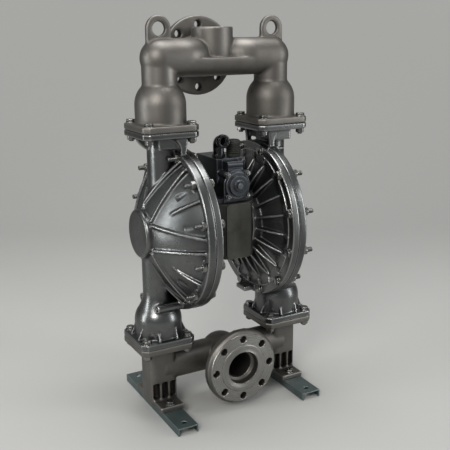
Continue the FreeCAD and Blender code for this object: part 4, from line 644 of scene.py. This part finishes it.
def dress_bolts(node, name, along=None, threaded=22.0):
    """New heads, washers and shanks, and a second piece of threaded ends. Along points from the nut to
    the head; without it, the heads are on the side of the middle plane."""
    washer = [(SHANK, 0.0), (WASHER, 0.0), (WASHER + 0.3, 0.4), (WASHER, WASHER_THICK), (SHANK, WASHER_THICK)]
    parts, threads = [], []
    for low, high in islands(node):
        centre = (low + high) / 2
        axis = fastener_axis(centre, along, -1.0)
        line = int(np.argmax(np.abs(axis)))
        top = high[line] if axis[line] > 0 else low[line]
        foot = low[line] if axis[line] > 0 else high[line]
        seat = centre.copy()
        seat[line] = top - axis[line] * HEAD * MM
        end = centre.copy()
        end[line] = foot + axis[line] * threaded * MM
        length = abs(seat[line] - end[line]) / MM
        shank = [(0.0, 0.0), (SHANK - 0.2, 0.0), (SHANK - 0.2, length), (0.0, length)]
        parts.append(revolve(hex_head_profile(), seat, axis, 48, hexagon(HALF, chance.uniform(0, TAU))))
        parts.append(revolve(washer, seat, axis, 32))
        parts.append(revolve(shank, end, axis, 24))
        points, faces = thread(threaded, chance.uniform())
        threads.append((set_down(points, end, -axis), faces))
    piece = new_piece(name, *gather(parts))
    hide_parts(node)
    new_piece(name + "_threads", *gather(threads), material=FINISHES["thread_steel"])


def dress_nuts(node, name, along=None):
    """New hexagon nuts where the plain ones stand."""
    parts = []
    for low, high in islands(node):
        centre = (low + high) / 2
        axis = fastener_axis(centre, along, 1.0)
        line = int(np.argmax(np.abs(axis)))
        seat = centre.copy()
        seat[line] = low[line] if axis[line] > 0 else high[line]
        parts.append(revolve(hex_nut_profile(NUT), seat, axis, 48, hexagon(HALF, chance.uniform(0, TAU))))
    piece = new_piece(name, *gather(parts))
    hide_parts(node)


for side in ("right", "left"):
    dress_bolts("ring_bolts_" + side, "ring_screws_" + side, threaded=32.0)
    dress_nuts("ring_nuts_" + side, "ring_hexes_" + side)
for level in ("upper", "lower"):
    dress_bolts(level + "_joint_bolts", level + "_flange_screws", (0, 0, 1))
    dress_nuts(level + "_joint_nuts", level + "_flange_hexes", (0, 0, -1))
dress_bolts("foot_bolts", "foot_screws", (0, 0, 1))
dress_nuts("foot_nuts", "foot_hexes", (0, 0, -1))
print("fasteners dressed")

# %% [markdown]
# The two port flanges are faced on a lathe and drilled, so they keep crisp edges
# and fine rings. A thin machined skin lies over each casting: the raised sealing
# face and bore are turned, and the outer band is built round its eight holes.

# %% Steel with the rings of the lathe
def machined(name, centre_height):
    """Turned steel: pale, with fine rings about the port's axis."""
    material = finish(name, light=(0.5, 0.49, 0.465), dark=(0.34, 0.333, 0.315), rubbed_and_highlight=(0.7, 0.7, 0.68),
                      rough=(0.26, 0.4), grain=500.0, relief=0.05, round_edge=0.0006, rub=2.0)
    tree = material.node_tree
    rings = place_group(tree, LATHE_RINGS, tree.nodes["Texture Coordinate"].outputs["Object"],
                        Centre_height=centre_height, Rings_per_metre=850.0)
    bump = tree.nodes.new("ShaderNodeBump")
    bump.inputs["Strength"].default_value = 0.25
    bump.inputs["Distance"].default_value = 0.0003
    tree.links.new(rings.outputs["Height"], bump.inputs["Height"])
    tree.links.new(tree.nodes["Bump"].outputs["Normal"], bump.inputs["Normal"])
    shader = tree.nodes["Principled BSDF"]
    tree.links.new(bump.outputs["Normal"], shader.inputs["Normal"])
    roughness = spread(tree, rings.outputs["Tone"], 0.3, 0.7, to_low=0.22, to_high=0.42)
    tree.links.new(roughness, shader.inputs["Roughness"])
    return material


print("turned steel ready")

# %% Drilled band
PORT_HOLES = 8
HOLE_CIRCLE = 76.2
HOLE = 9.5            # radius of a hole
HOLE_EDGE = 0.8       # chamfer of each hole
BAND_INNER = 61.0
BAND_OUTER = 89.6
LINED = 23.0          # how deep the skin lines the bore and the holes


def drilled_band(segments=48, steps=5):
    """A flat band with holes. In each sector a point goes from the hole's edge (s = 0) to the sector's
    own border (s = 1) along a ray at angle a from the hole's centre."""
    half = math.pi / PORT_HOLES
    angle = np.arange(segments) * TAU / segments
    across, out = np.sin(angle), np.cos(angle)
    room_side = half * HOLE_CIRCLE / np.maximum(np.abs(across), 1e-6)
    room_out = np.where(out > 0, BAND_OUTER - HOLE_CIRCLE, HOLE_CIRCLE - BAND_INNER)
    room = np.minimum(room_side, room_out / np.maximum(np.abs(out), 1e-6))
    share = np.concatenate([[0.0, 0.0, 0.02], np.linspace(0.06, 1.0, steps)])
    rise = np.concatenate([[-LINED, -HOLE_EDGE, 0.0], np.zeros(steps)])
    edge = np.where(np.arange(len(share)) < 2, HOLE, HOLE + HOLE_EDGE)
    reach = edge[:, None] + np.maximum(room[None, :] - edge[:, None], 0) * share[:, None]
    radius = HOLE_CIRCLE + reach * out[None, :]
    turn = reach * across[None, :] / HOLE_CIRCLE
    hole_row = share[:, None] <= 0.02
    flat_x, flat_y = HOLE_CIRCLE + reach * out, reach * across
    radius = np.where(hole_row, np.hypot(flat_x, flat_y), radius)
    turn = np.where(hole_row, np.arctan2(flat_y, flat_x), turn)
    height = np.repeat(rise[:, None], segments, 1)
    parts = []
    for hole in range(PORT_HOLES):
        whole = turn + hole * TAU / PORT_HOLES
        points = np.stack([radius * np.cos(whole), radius * np.sin(whole), height], -1)
        parts.append((points.reshape(-1, 3) * MM, grid_faces(len(share), segments)))
    return gather(parts)


print("band shape ready")

# %% Machined port faces
PORT_FACE = 123.3     # sealing face of the solids, from the pump's middle
CAST_STEP = 1.6       # the band lies this far behind it
BORE = 42.4
FACE_INNER = 43.2     # the sealing face from here
RAISED_EDGE = 61.2    # to here
RAISED = 1.85         # skin of the sealing face over the plane of the casting
BAND_RISE = 0.95      # outer band over the same plane
GROOVES = 13
GROOVE_PITCH = 1.24


def port_face(name, sign, rise):
    """Raised face, bore mouth and drilled band of one port."""
    centre = np.array([0.0, sign * (PORT_FACE - CAST_STEP) * MM, rise * MM])
    along = (0.0, float(sign), 0.0)
    raised = [(BORE, -LINED), (BORE, 1.2), (FACE_INNER, RAISED)]
    for groove in range(1, GROOVES + 1):
        radius = FACE_INNER + groove * GROOVE_PITCH
        raised += [(radius - 0.3, RAISED), (radius, RAISED - 0.25), (radius + 0.3, RAISED)]
    raised += [(RAISED_EDGE - 0.6, RAISED), (RAISED_EDGE, 1.4), (RAISED_EDGE, -0.6)]
    turned = revolve(raised, centre, along, 128)
    band_points, band_faces = drilled_band()
    band_points = set_down(band_points, centre + np.array([0.0, sign * BAND_RISE * MM, 0.0]), along)
    rim = [(BAND_OUTER, BAND_RISE), (BAND_OUTER + 0.7, BAND_RISE - 0.7), (BAND_OUTER + 1.0, -1.6)]
    parts = [turned, (band_points, band_faces), revolve(rim, centre, along, 128)]
    new_piece(name, *gather(parts), material=machined(name + "_steel", rise * MM))


port_face("inlet_port_face", sign=-1, rise=111.0)
port_face("outlet_port_face", sign=1, rise=869.0)
print("port faces machined")

# %% [markdown]
# Between each pair of clamping rings the diaphragm's edge shows as a thin dark
# line. It is a turned bead just proud of the rings, so it can't be left out.

# %% Diaphragm edges between the rings
ROD_RISE = 461.6
SEAM = 111.25         # middle of the sheet from the pump's middle plane
RING = 199.0          # radius of the clamping rings

for side, sign in (("right", 1), ("left", -1)):
    bead = [(RING - 3.0, -0.9), (RING - 0.1, -0.9), (RING + 0.3, -0.4)]
    bead += [(radius, -height) for radius, height in reversed(bead)]
    points, faces = revolve(bead, (sign * SEAM * MM, 0.0, ROD_RISE * MM), (1, 0, 0), 192)
    new_piece("diaphragm_edge_" + side, points, faces, slot="sheet_rubber")
print("diaphragm edges added")

# %% [markdown]
# A diaphragm is clamped at its rim and carried by the rod at its middle, so it has
# to roll when the rod moves. It is cut like a cake into sectors, each a piece of its
# own with the rolled section. Neighbours share a border that lies at the same angle
# to both their middle lines.

# %% Diaphragms cut into sectors
SECTORS = 8
ROD_HOLE = 9.2
PLATE_EDGE = 86.0     # the plates carry the sheet up to this radius
SHEET_RIM = 158.0
ROLL = 9.0            # depth of the roll between plates and rim


def sheet_section():
    """Closed loop of (x, radius): the middle is SEAM - ROLL sin²(pi s) at share s of the way from plate
    to rim, and half the thickness goes from 2.5 to 1.5."""
    radius = np.concatenate([[ROD_HOLE, 40.0, 70.0], np.linspace(PLATE_EDGE, SHEET_RIM, 26)])
    share = np.clip((radius - PLATE_EDGE) / (SHEET_RIM - PLATE_EDGE), 0.0, 1.0)
    middle = SEAM - ROLL * np.sin(math.pi * share) ** 2
    half = 2.5 - share
    near = np.stack([middle - half, radius], axis=1)
    far = np.stack([middle + half, radius], axis=1)
    return np.concatenate([near, far[::-1]]) * MM


section = sheet_section()
for side, sign in (("right", 1), ("left", -1)):
    for sector in range(SECTORS):
        middle = sector * TAU / SECTORS
        angle = (middle + np.linspace(-0.5, 0.5, 9) * TAU / SECTORS)[:, None]
        points = np.stack([sign * section[:, 0] + 0 * angle, section[:, 1] * np.cos(angle),
                           section[:, 1] * np.sin(angle) + ROD_RISE * MM], -1)
        name = "diaphragm_sheet_%s_%d" % (side, sector + 1)
        faces = grid_faces(len(angle), len(section))
        sheet = new_piece(name, points.reshape(-1, 3), faces, body=None, slot="sheet_rubber")
        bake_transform(sheet)
        if sector == 0:
            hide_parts("diaphragm_" + side)
print("diaphragm sectors:", 2 * SECTORS)

# %% [markdown]
# Where each cooling fin meets the back of the clamping ring, the pattern maker left
# a small pad, and together they read as the rungs of a ladder. A superellipsoid
# is the quickest soft block: a ball whose sines and cosines are raised to a power.

# %% Pads at the fin ends
RING_THICK = 18.0
FIN_COUNT = 20
FIN_START = -4.0      # degrees of the first fin, from level at the front
FIN_END = 169.8       # middle of a pad from the rod axis
PAD = (3.6, 9.2, 2.4)
LIP = 177.0           # radius of the thin lip's crest


def powered(wave, power=0.35):
    """A sine or cosine raised to a power, with its sign kept."""
    return np.sign(wave) * np.abs(wave) ** power


def soft_block(half, rows=9, columns=20):
    """Superellipsoid: the point at latitude u, longitude v is (a c(v) c(u), b s(v) c(u), c s(u)),
    where c and s are cosine and sine raised to a power with their sign kept."""
    rise = np.linspace(-math.pi / 2, math.pi / 2, rows)[:, None]
    turn = (np.arange(columns) * TAU / columns)[None, :]
    flat = np.where(np.abs(np.cos(rise)) < 1e-9, 0.0, powered(np.cos(rise)))
    points = np.stack([half[0] * powered(np.cos(turn)) * flat, half[1] * powered(np.sin(turn)) * flat,
                       half[2] * powered(np.sin(rise)) * np.ones_like(turn)], -1)
    return points.reshape(-1, 3) * MM, grid_faces(rows, columns)


def fin_pads(sign):
    """All the pads of one side, and the lip that runs round outside them."""
    back = np.array([sign * (SEAM - RING_THICK) * MM, 0.0, ROD_RISE * MM])
    parts = []
    for fin in range(FIN_COUNT):
        angle = math.radians(FIN_START + fin * 360 / FIN_COUNT)
        outward = np.array([0.0, -math.cos(angle), math.sin(angle)])
        points, faces = soft_block(PAD)
        points = points @ np.stack([np.cross(outward, [1.0, 0.0, 0.0]), outward, [1.0, 0.0, 0.0]])
        parts.append((points + back + outward * FIN_END * MM, faces))
    lip = [(LIP - 1.4, 1.0), (LIP - 0.8, -1.1), (LIP, -1.5), (LIP + 1.0, -1.1), (LIP + 1.6, 1.0),
           (LIP - 1.4, 1.0)]
    parts.append(revolve(lip, back, (sign, 0, 0), 160))
    return gather(parts)


for side, sign in (("right", 1), ("left", -1)):
    new_piece("fin_pads_" + side, *fin_pads(sign), slot="chamber_steel")
print("fin pads:", 2 * FIN_COUNT)

# %% [markdown]
# The air elbow is a forged fitting: a tube carried round a quarter turn, with a
# hexagon at its foot and a beaded collar at its mouth. The tube swells in the bend,
# because a forging has more metal there.

# %% Air elbow
ELBOW_TUBE = 14.0     # outer radius of the tube
ELBOW_BEND = 15.0     # radius of the bend's middle line
ELBOW_BORE = 10.4
ELBOW_HEX = 13.6      # half the width across flats of the foot
HEX_TALL = 9.0
ELBOW_STUD = 10.0     # thread below the hexagon
LEG_BACK = 15.5       # middle of the upright leg from the back of the solid
MOUTH_DOWN = 16.5     # middle of the mouth below its top
COLLAR = 16.4


def swept_tube(path, radii, segments=40):
    """A tube: the point at path step s and angle t is path(s) + r(s) (cos t side + sin t up(s)),
    where side is fixed and up is square to the path."""
    path = np.asarray(path, dtype=float)
    along = np.gradient(path, axis=0)
    along /= np.linalg.norm(along, axis=1)[:, None]
    side = np.array([1.0, 0.0, 0.0])
    up = np.cross(along, side)
    angle = np.arange(segments) * TAU / segments
    ring = np.cos(angle)[None, :, None] * side + np.sin(angle)[None, :, None] * up[:, None, :]
    points = path[:, None, :] + np.asarray(radii)[:, None, None] * ring
    return points.reshape(-1, 3), grid_faces(len(path), segments)


elbow_low, elbow_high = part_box("air_inlet_elbow")
elbow_x = (elbow_low[0] + elbow_high[0]) / 2
leg_y = elbow_high[1] - LEG_BACK * MM
seat = elbow_low[2] + ELBOW_STUD * MM
mouth_z = elbow_high[2] - MOUTH_DOWN * MM
mouth = elbow_low[1]
bend = ELBOW_BEND * MM
path = [(elbow_x, leg_y, z) for z in np.linspace(seat, mouth_z - bend, 8)]
for turned in np.linspace(0.0, math.pi / 2, 14)[1:-1]:
    path.append((elbow_x, leg_y - bend + bend * math.cos(turned), mouth_z - bend + bend * math.sin(turned)))
path += [(elbow_x, y, mouth_z) for y in np.linspace(leg_y - bend, mouth, 10)]
share = np.linspace(0.0, 1.0, len(path))
radii = ELBOW_TUBE * MM * (0.93 + 0.09 * np.exp(-((share - 0.5) / 0.22) ** 2))
collar = [(ELBOW_BORE, 1.0), (ELBOW_BORE, 12.9), (11.4, 13.3), (15.2, 13.3), (COLLAR, 12.3), (COLLAR, 2.6),
          (15.4, 1.2), (13.4, 0.0)]
bore = [(ELBOW_BORE, 0.0), (ELBOW_BORE, 28.0), (0.0, 28.0)]
foot = hex_nut_profile(HEX_TALL, ELBOW_HEX)
elbow_parts = [swept_tube(path, radii),
               revolve(collar, (elbow_x, mouth + 13.0 * MM, mouth_z), (0, -1, 0), 48),
               revolve(foot, (elbow_x, leg_y, seat), (0, 0, 1), 48, hexagon(ELBOW_HEX)),
               revolve(bore, (elbow_x, mouth - 0.2 * MM, mouth_z), (0, 1, 0), 40)]
elbow = new_piece("air_elbow_forged", *gather(elbow_parts), slot="elbow_steel")
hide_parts("air_inlet_elbow")
print("elbow path:", len(path), "steps")

# %% [markdown]
# The exhaust muffler is a plastic can whose wall is a stack of rounded ridges. They
# are turned from one wavy profile over a hexagon foot.

# %% Exhaust muffler
CAN = 17.4            # middle radius of the wavy wall
RIDGE = 1.0           # how far a ridge stands over it
RIDGE_PITCH = 4.6
CAN_STUD = 9.0        # thread below the hexagon
CAN_HEX = 14.5        # half the width across flats of the foot
CAN_FOOT = 8.0        # height of the foot

can_low, can_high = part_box("exhaust_muffler")
tall = (can_high[2] - can_low[2]) / MM - CAN_STUD
ridges = [(0.0, 0.0), (14.0, 0.0), (14.0, CAN_FOOT)]
for row in np.linspace(CAN_FOOT, tall - 6.0, 81):
    ridges.append((CAN + RIDGE * math.sin(row * TAU / RIDGE_PITCH), row))
ridges += [(17.0, tall - 4.5), (15.4, tall - 2.4), (12.6, tall - 0.9), (7.0, tall), (0.0, tall)]
can_seat = ((can_low[0] + can_high[0]) / 2, (can_low[1] + can_high[1]) / 2, can_low[2] + CAN_STUD * MM)
can = gather([revolve(ridges, can_seat, (0, 0, 1), 48),
              revolve(hex_nut_profile(CAN_FOOT, CAN_HEX), can_seat, (0, 0, 1), 48, hexagon(CAN_HEX))])
muffler = new_piece("muffler_ribbed", *can, slot="muffler_plastic")
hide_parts("exhaust_muffler")
print("muffler ridges:", int((tall - 6.0 - CAN_FOOT) / RIDGE_PITCH))

# %% [markdown]
# The air valve's end caps are held by socket head screws. Each head is a turned
# cup with a knurled side and a hexagon hole, small but close to the eye.

# %% Socket head screws
SOCKET = 5.0          # radius of the head
SOCKET_TALL = 6.0
SOCKET_MOUTH = 2.9    # radius of the hole's mouth
SOCKET_HALF = 2.5     # half the hole's width across flats
SOCKET_DEEP = 3.0
KNURL = 0.12          # half the depth of the knurling
KNURLS = 24


def knurled(angle):
    """Reach of a knurled side at an angle: the head's radius less a wave with one crest for each tooth."""
    return SOCKET - KNURL + KNURL * np.cos(angle * KNURLS)


def socket_head(centre, along):
    """A cup with a knurled side and a hexagon hole in its top."""
    side = [(0.0, 0.0), (SOCKET, 0.0), (SOCKET, SOCKET_TALL - 0.8), (SOCKET - 0.7, SOCKET_TALL),
            (SOCKET_MOUTH, SOCKET_TALL)]
    floor = SOCKET_TALL - SOCKET_DEEP
    hole = [(SOCKET_MOUTH, SOCKET_TALL), (SOCKET_MOUTH, floor), (0.0, floor)]
    cup = revolve(side, centre, along, 96, knurled)
    return gather([cup, revolve(hole, centre, along, 48, hexagon(SOCKET_HALF))])


screws = []
for low, high in islands("air_valve_screws"):
    middle = (low + high) / 2
    away = np.array([0.0, -1.0 if middle[1] < 0 else 1.0, 0.0])
    foot = middle.copy()
    foot[1] = high[1] if away[1] < 0 else low[1]
    screws.append(socket_head(foot, away))
screw_heads = new_piece("socket_heads", *gather(screws))
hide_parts("air_valve_screws")
print("socket heads:", len(screws))

# %% [markdown]
# The studio: a pale floor that runs up into a backdrop in one sweep, so that no
# horizon cuts the picture. The sweep is a profile carried along a straight line.
# Metal is as dark or bright as what it mirrors, so the paper answers glossy rays
# with a darker tone, and far off it fades into one plain colour for the camera.

# %% Paper of the backdrop
FAR_COLOUR = (0.385, 0.385, 0.37, 1.0)
PAPER_LOW = (0.535, 0.535, 0.515)
PAPER_HIGH = (0.59, 0.59, 0.57)
PAPER_MIRRORED = (0.12, 0.122, 0.12)
FADE_FROM = 1.3       # metres from the pump
FADE_TO = 3.6


def backdrop_material():
    """Matt paper with a faint cloud in it. Half of what glossy rays meet is a dark tone. The fade is
    an emission that only camera rays meet, so that it lights nothing."""
    material = bpy.data.materials.new("backdrop_paper")
    material.use_nodes = True
    tree = material.node_tree
    shader = tree.nodes["Principled BSDF"]
    where = tree.nodes.new("ShaderNodeTexCoord").outputs["Object"]
    cloud = noise(tree, where, scale=0.7, detail=3.0)
    colour = blend_colours(tree, cloud, PAPER_LOW, PAPER_HIGH)
    ray = tree.nodes.new("ShaderNodeLightPath")
    dimmed = maths(tree, "MULTIPLY", ray.outputs["Is Glossy Ray"], 0.5)
    colour = blend_colours(tree, dimmed, colour, PAPER_MIRRORED)
    tree.links.new(colour, shader.inputs["Base Color"])
    shader.inputs["Roughness"].default_value = 0.85
    shader.inputs["Specular IOR Level"].default_value = 0.2
    far_off = tree.nodes.new("ShaderNodeVectorMath")
    far_off.operation = "LENGTH"
    tree.links.new(where, far_off.inputs[0])
    fading = spread(tree, far_off.outputs["Value"], FADE_FROM, FADE_TO)
    faded = maths(tree, "MULTIPLY", fading, ray.outputs["Is Camera Ray"])
    haze = tree.nodes.new("ShaderNodeEmission")
    haze.inputs["Color"].default_value = FAR_COLOUR
    either = tree.nodes.new("ShaderNodeMixShader")
    tree.links.new(faded, either.inputs[0])
    tree.links.new(shader.outputs["BSDF"], either.inputs[1])
    tree.links.new(haze.outputs["Emission"], either.inputs[2])
    tree.links.new(either.outputs["Shader"], tree.nodes["Material Output"].inputs["Surface"])
    return material


print("paper ready")

# %% Floor and backdrop
BACKDROP_TURN = -28.6     # degrees, which face its wall to the camera


def sweep_backdrop(width=14.0, near=-6.0, far=3.2, tall=7.0, bend_radius=1.6):
    """Profile: flat floor, a quarter circle, then a wall; carried along X."""
    arc = np.linspace(0.0, math.pi / 2, 24)
    y = np.concatenate([[near], far - bend_radius + bend_radius * np.sin(arc), [far]])
    z = np.concatenate([[0.0], bend_radius - bend_radius * np.cos(arc), [tall]])
    x = np.repeat([[-width / 2], [width / 2]], len(y), 1)
    points = np.stack([x, np.repeat(y[None], 2, 0), np.repeat(z[None], 2, 0)], -1)
    here = np.arange(len(y) - 1)
    faces = np.stack([here, here + len(y), here + len(y) + 1, here + 1], -1)
    return points.reshape(-1, 3), faces


points, faces = sweep_backdrop()
paper_mesh = bpy.data.meshes.new("backdrop")
paper_mesh.from_pydata(points.tolist(), [], faces.tolist())
paper_mesh.polygons.foreach_set("use_smooth", np.ones(len(paper_mesh.polygons), dtype=bool))
paper_mesh.materials.append(backdrop_material())
paper = put_in_scene("backdrop", paper_mesh)
paper.rotation_euler = (0.0, 0.0, math.radians(BACKDROP_TURN))
print("backdrop in place")

# %% [markdown]
# Soft light comes from four large panels: the key high on the left front, a long
# one low on the left, a long one on the right that draws a bright line down each
# rim, and one overhead. The world adds an even grey, and the camera sees it as the
# colour that the backdrop fades to.

# %% Lights
MIDDLE = (0.0, 0.0, 0.5)
SKY_COLOUR = (0.62, 0.63, 0.64, 1.0)
SKY_STRENGTH = 0.34


def panel(name, place, size, power, colour=(1.0, 1.0, 1.0)):
    """A rectangular area light that looks at the pump's middle."""
    light = bpy.data.lights.new(name, "AREA")
    light.shape = "RECTANGLE"
    light.size, light.size_y = size
    light.energy = power
    light.color = colour
    lamp = put_in_scene(name, light)
    lamp.location = place
    lamp.rotation_euler = (Vector(MIDDLE) - Vector(place)).to_track_quat("-Z", "Y").to_euler()


panel("key_panel", (-2.2, -2.1, 2.3), (1.3, 1.3), 52.0, (1.0, 0.985, 0.96))
panel("side_panel", (-2.5, 0.35, 0.75), (0.5, 2.0), 18.0, (0.97, 0.99, 1.0))
panel("rim_panel", (2.2, -1.9, 1.1), (0.6, 2.4), 25.0, (0.97, 0.985, 1.0))
panel("top_panel", (0.2, 0.2, 3.0), (2.0, 1.4), 44.0)

# %% World
world = bpy.data.worlds.new("studio")
world.use_nodes = True
bpy.context.scene.world = world
tree = world.node_tree
sky = tree.nodes["Background"]
sky.inputs["Color"].default_value = SKY_COLOUR
sky.inputs["Strength"].default_value = SKY_STRENGTH
far_wall = tree.nodes.new("ShaderNodeBackground")
far_wall.inputs["Color"].default_value = FAR_COLOUR
ray = tree.nodes.new("ShaderNodeLightPath")
either = tree.nodes.new("ShaderNodeMixShader")
tree.links.new(ray.outputs["Is Camera Ray"], either.inputs[0])
tree.links.new(sky.outputs[0], either.inputs[1])
tree.links.new(far_wall.outputs[0], either.inputs[2])
tree.links.new(either.outputs[0], tree.nodes["World Output"].inputs["Surface"])
print("world:", world.name)

# %% [markdown]
# The camera stands where the photograph was taken from, worked out from the two
# port flanges and the discs: about 29 degrees to the left and 15 above.

# %% Camera
EYE = (-0.8458, -1.5829, 0.9314)
YAW = 28.61           # degrees
DOWN = 14.91
TILT = -0.55
FOCAL = 58.73         # millimetres, for a sensor 36 mm wide


def camera_turn(yaw, pitch, roll):
    """Columns right, up and back of a camera that looks along +Y, turned by angles in degrees."""
    yaw, pitch, roll = (math.radians(value) for value in (yaw, pitch, roll))
    ahead = np.array([math.sin(yaw) * math.cos(pitch), math.cos(yaw) * math.cos(pitch), -math.sin(pitch)])
    right = np.array([math.cos(yaw), -math.sin(yaw), 0.0])
    up = np.cross(right, ahead)
    rolled = right * math.cos(roll) + up * math.sin(roll)
    return np.stack([rolled, np.cross(rolled, ahead), -ahead], axis=1)


lens = bpy.data.cameras.new("photo_camera")
lens.lens = FOCAL
lens.sensor_width = 36.0
lens.clip_start = 0.05
lens.clip_end = 60.0
camera = put_in_scene("photo_camera", lens)
turned = Matrix(camera_turn(YAW, DOWN, TILT).tolist()).to_4x4()
camera.matrix_world = Matrix.Translation(EYE) @ turned
bpy.context.scene.camera = camera
bpy.context.scene.view_settings.view_transform = "Standard"
print("camera at", EYE, "with a lens of", FOCAL, "mm")
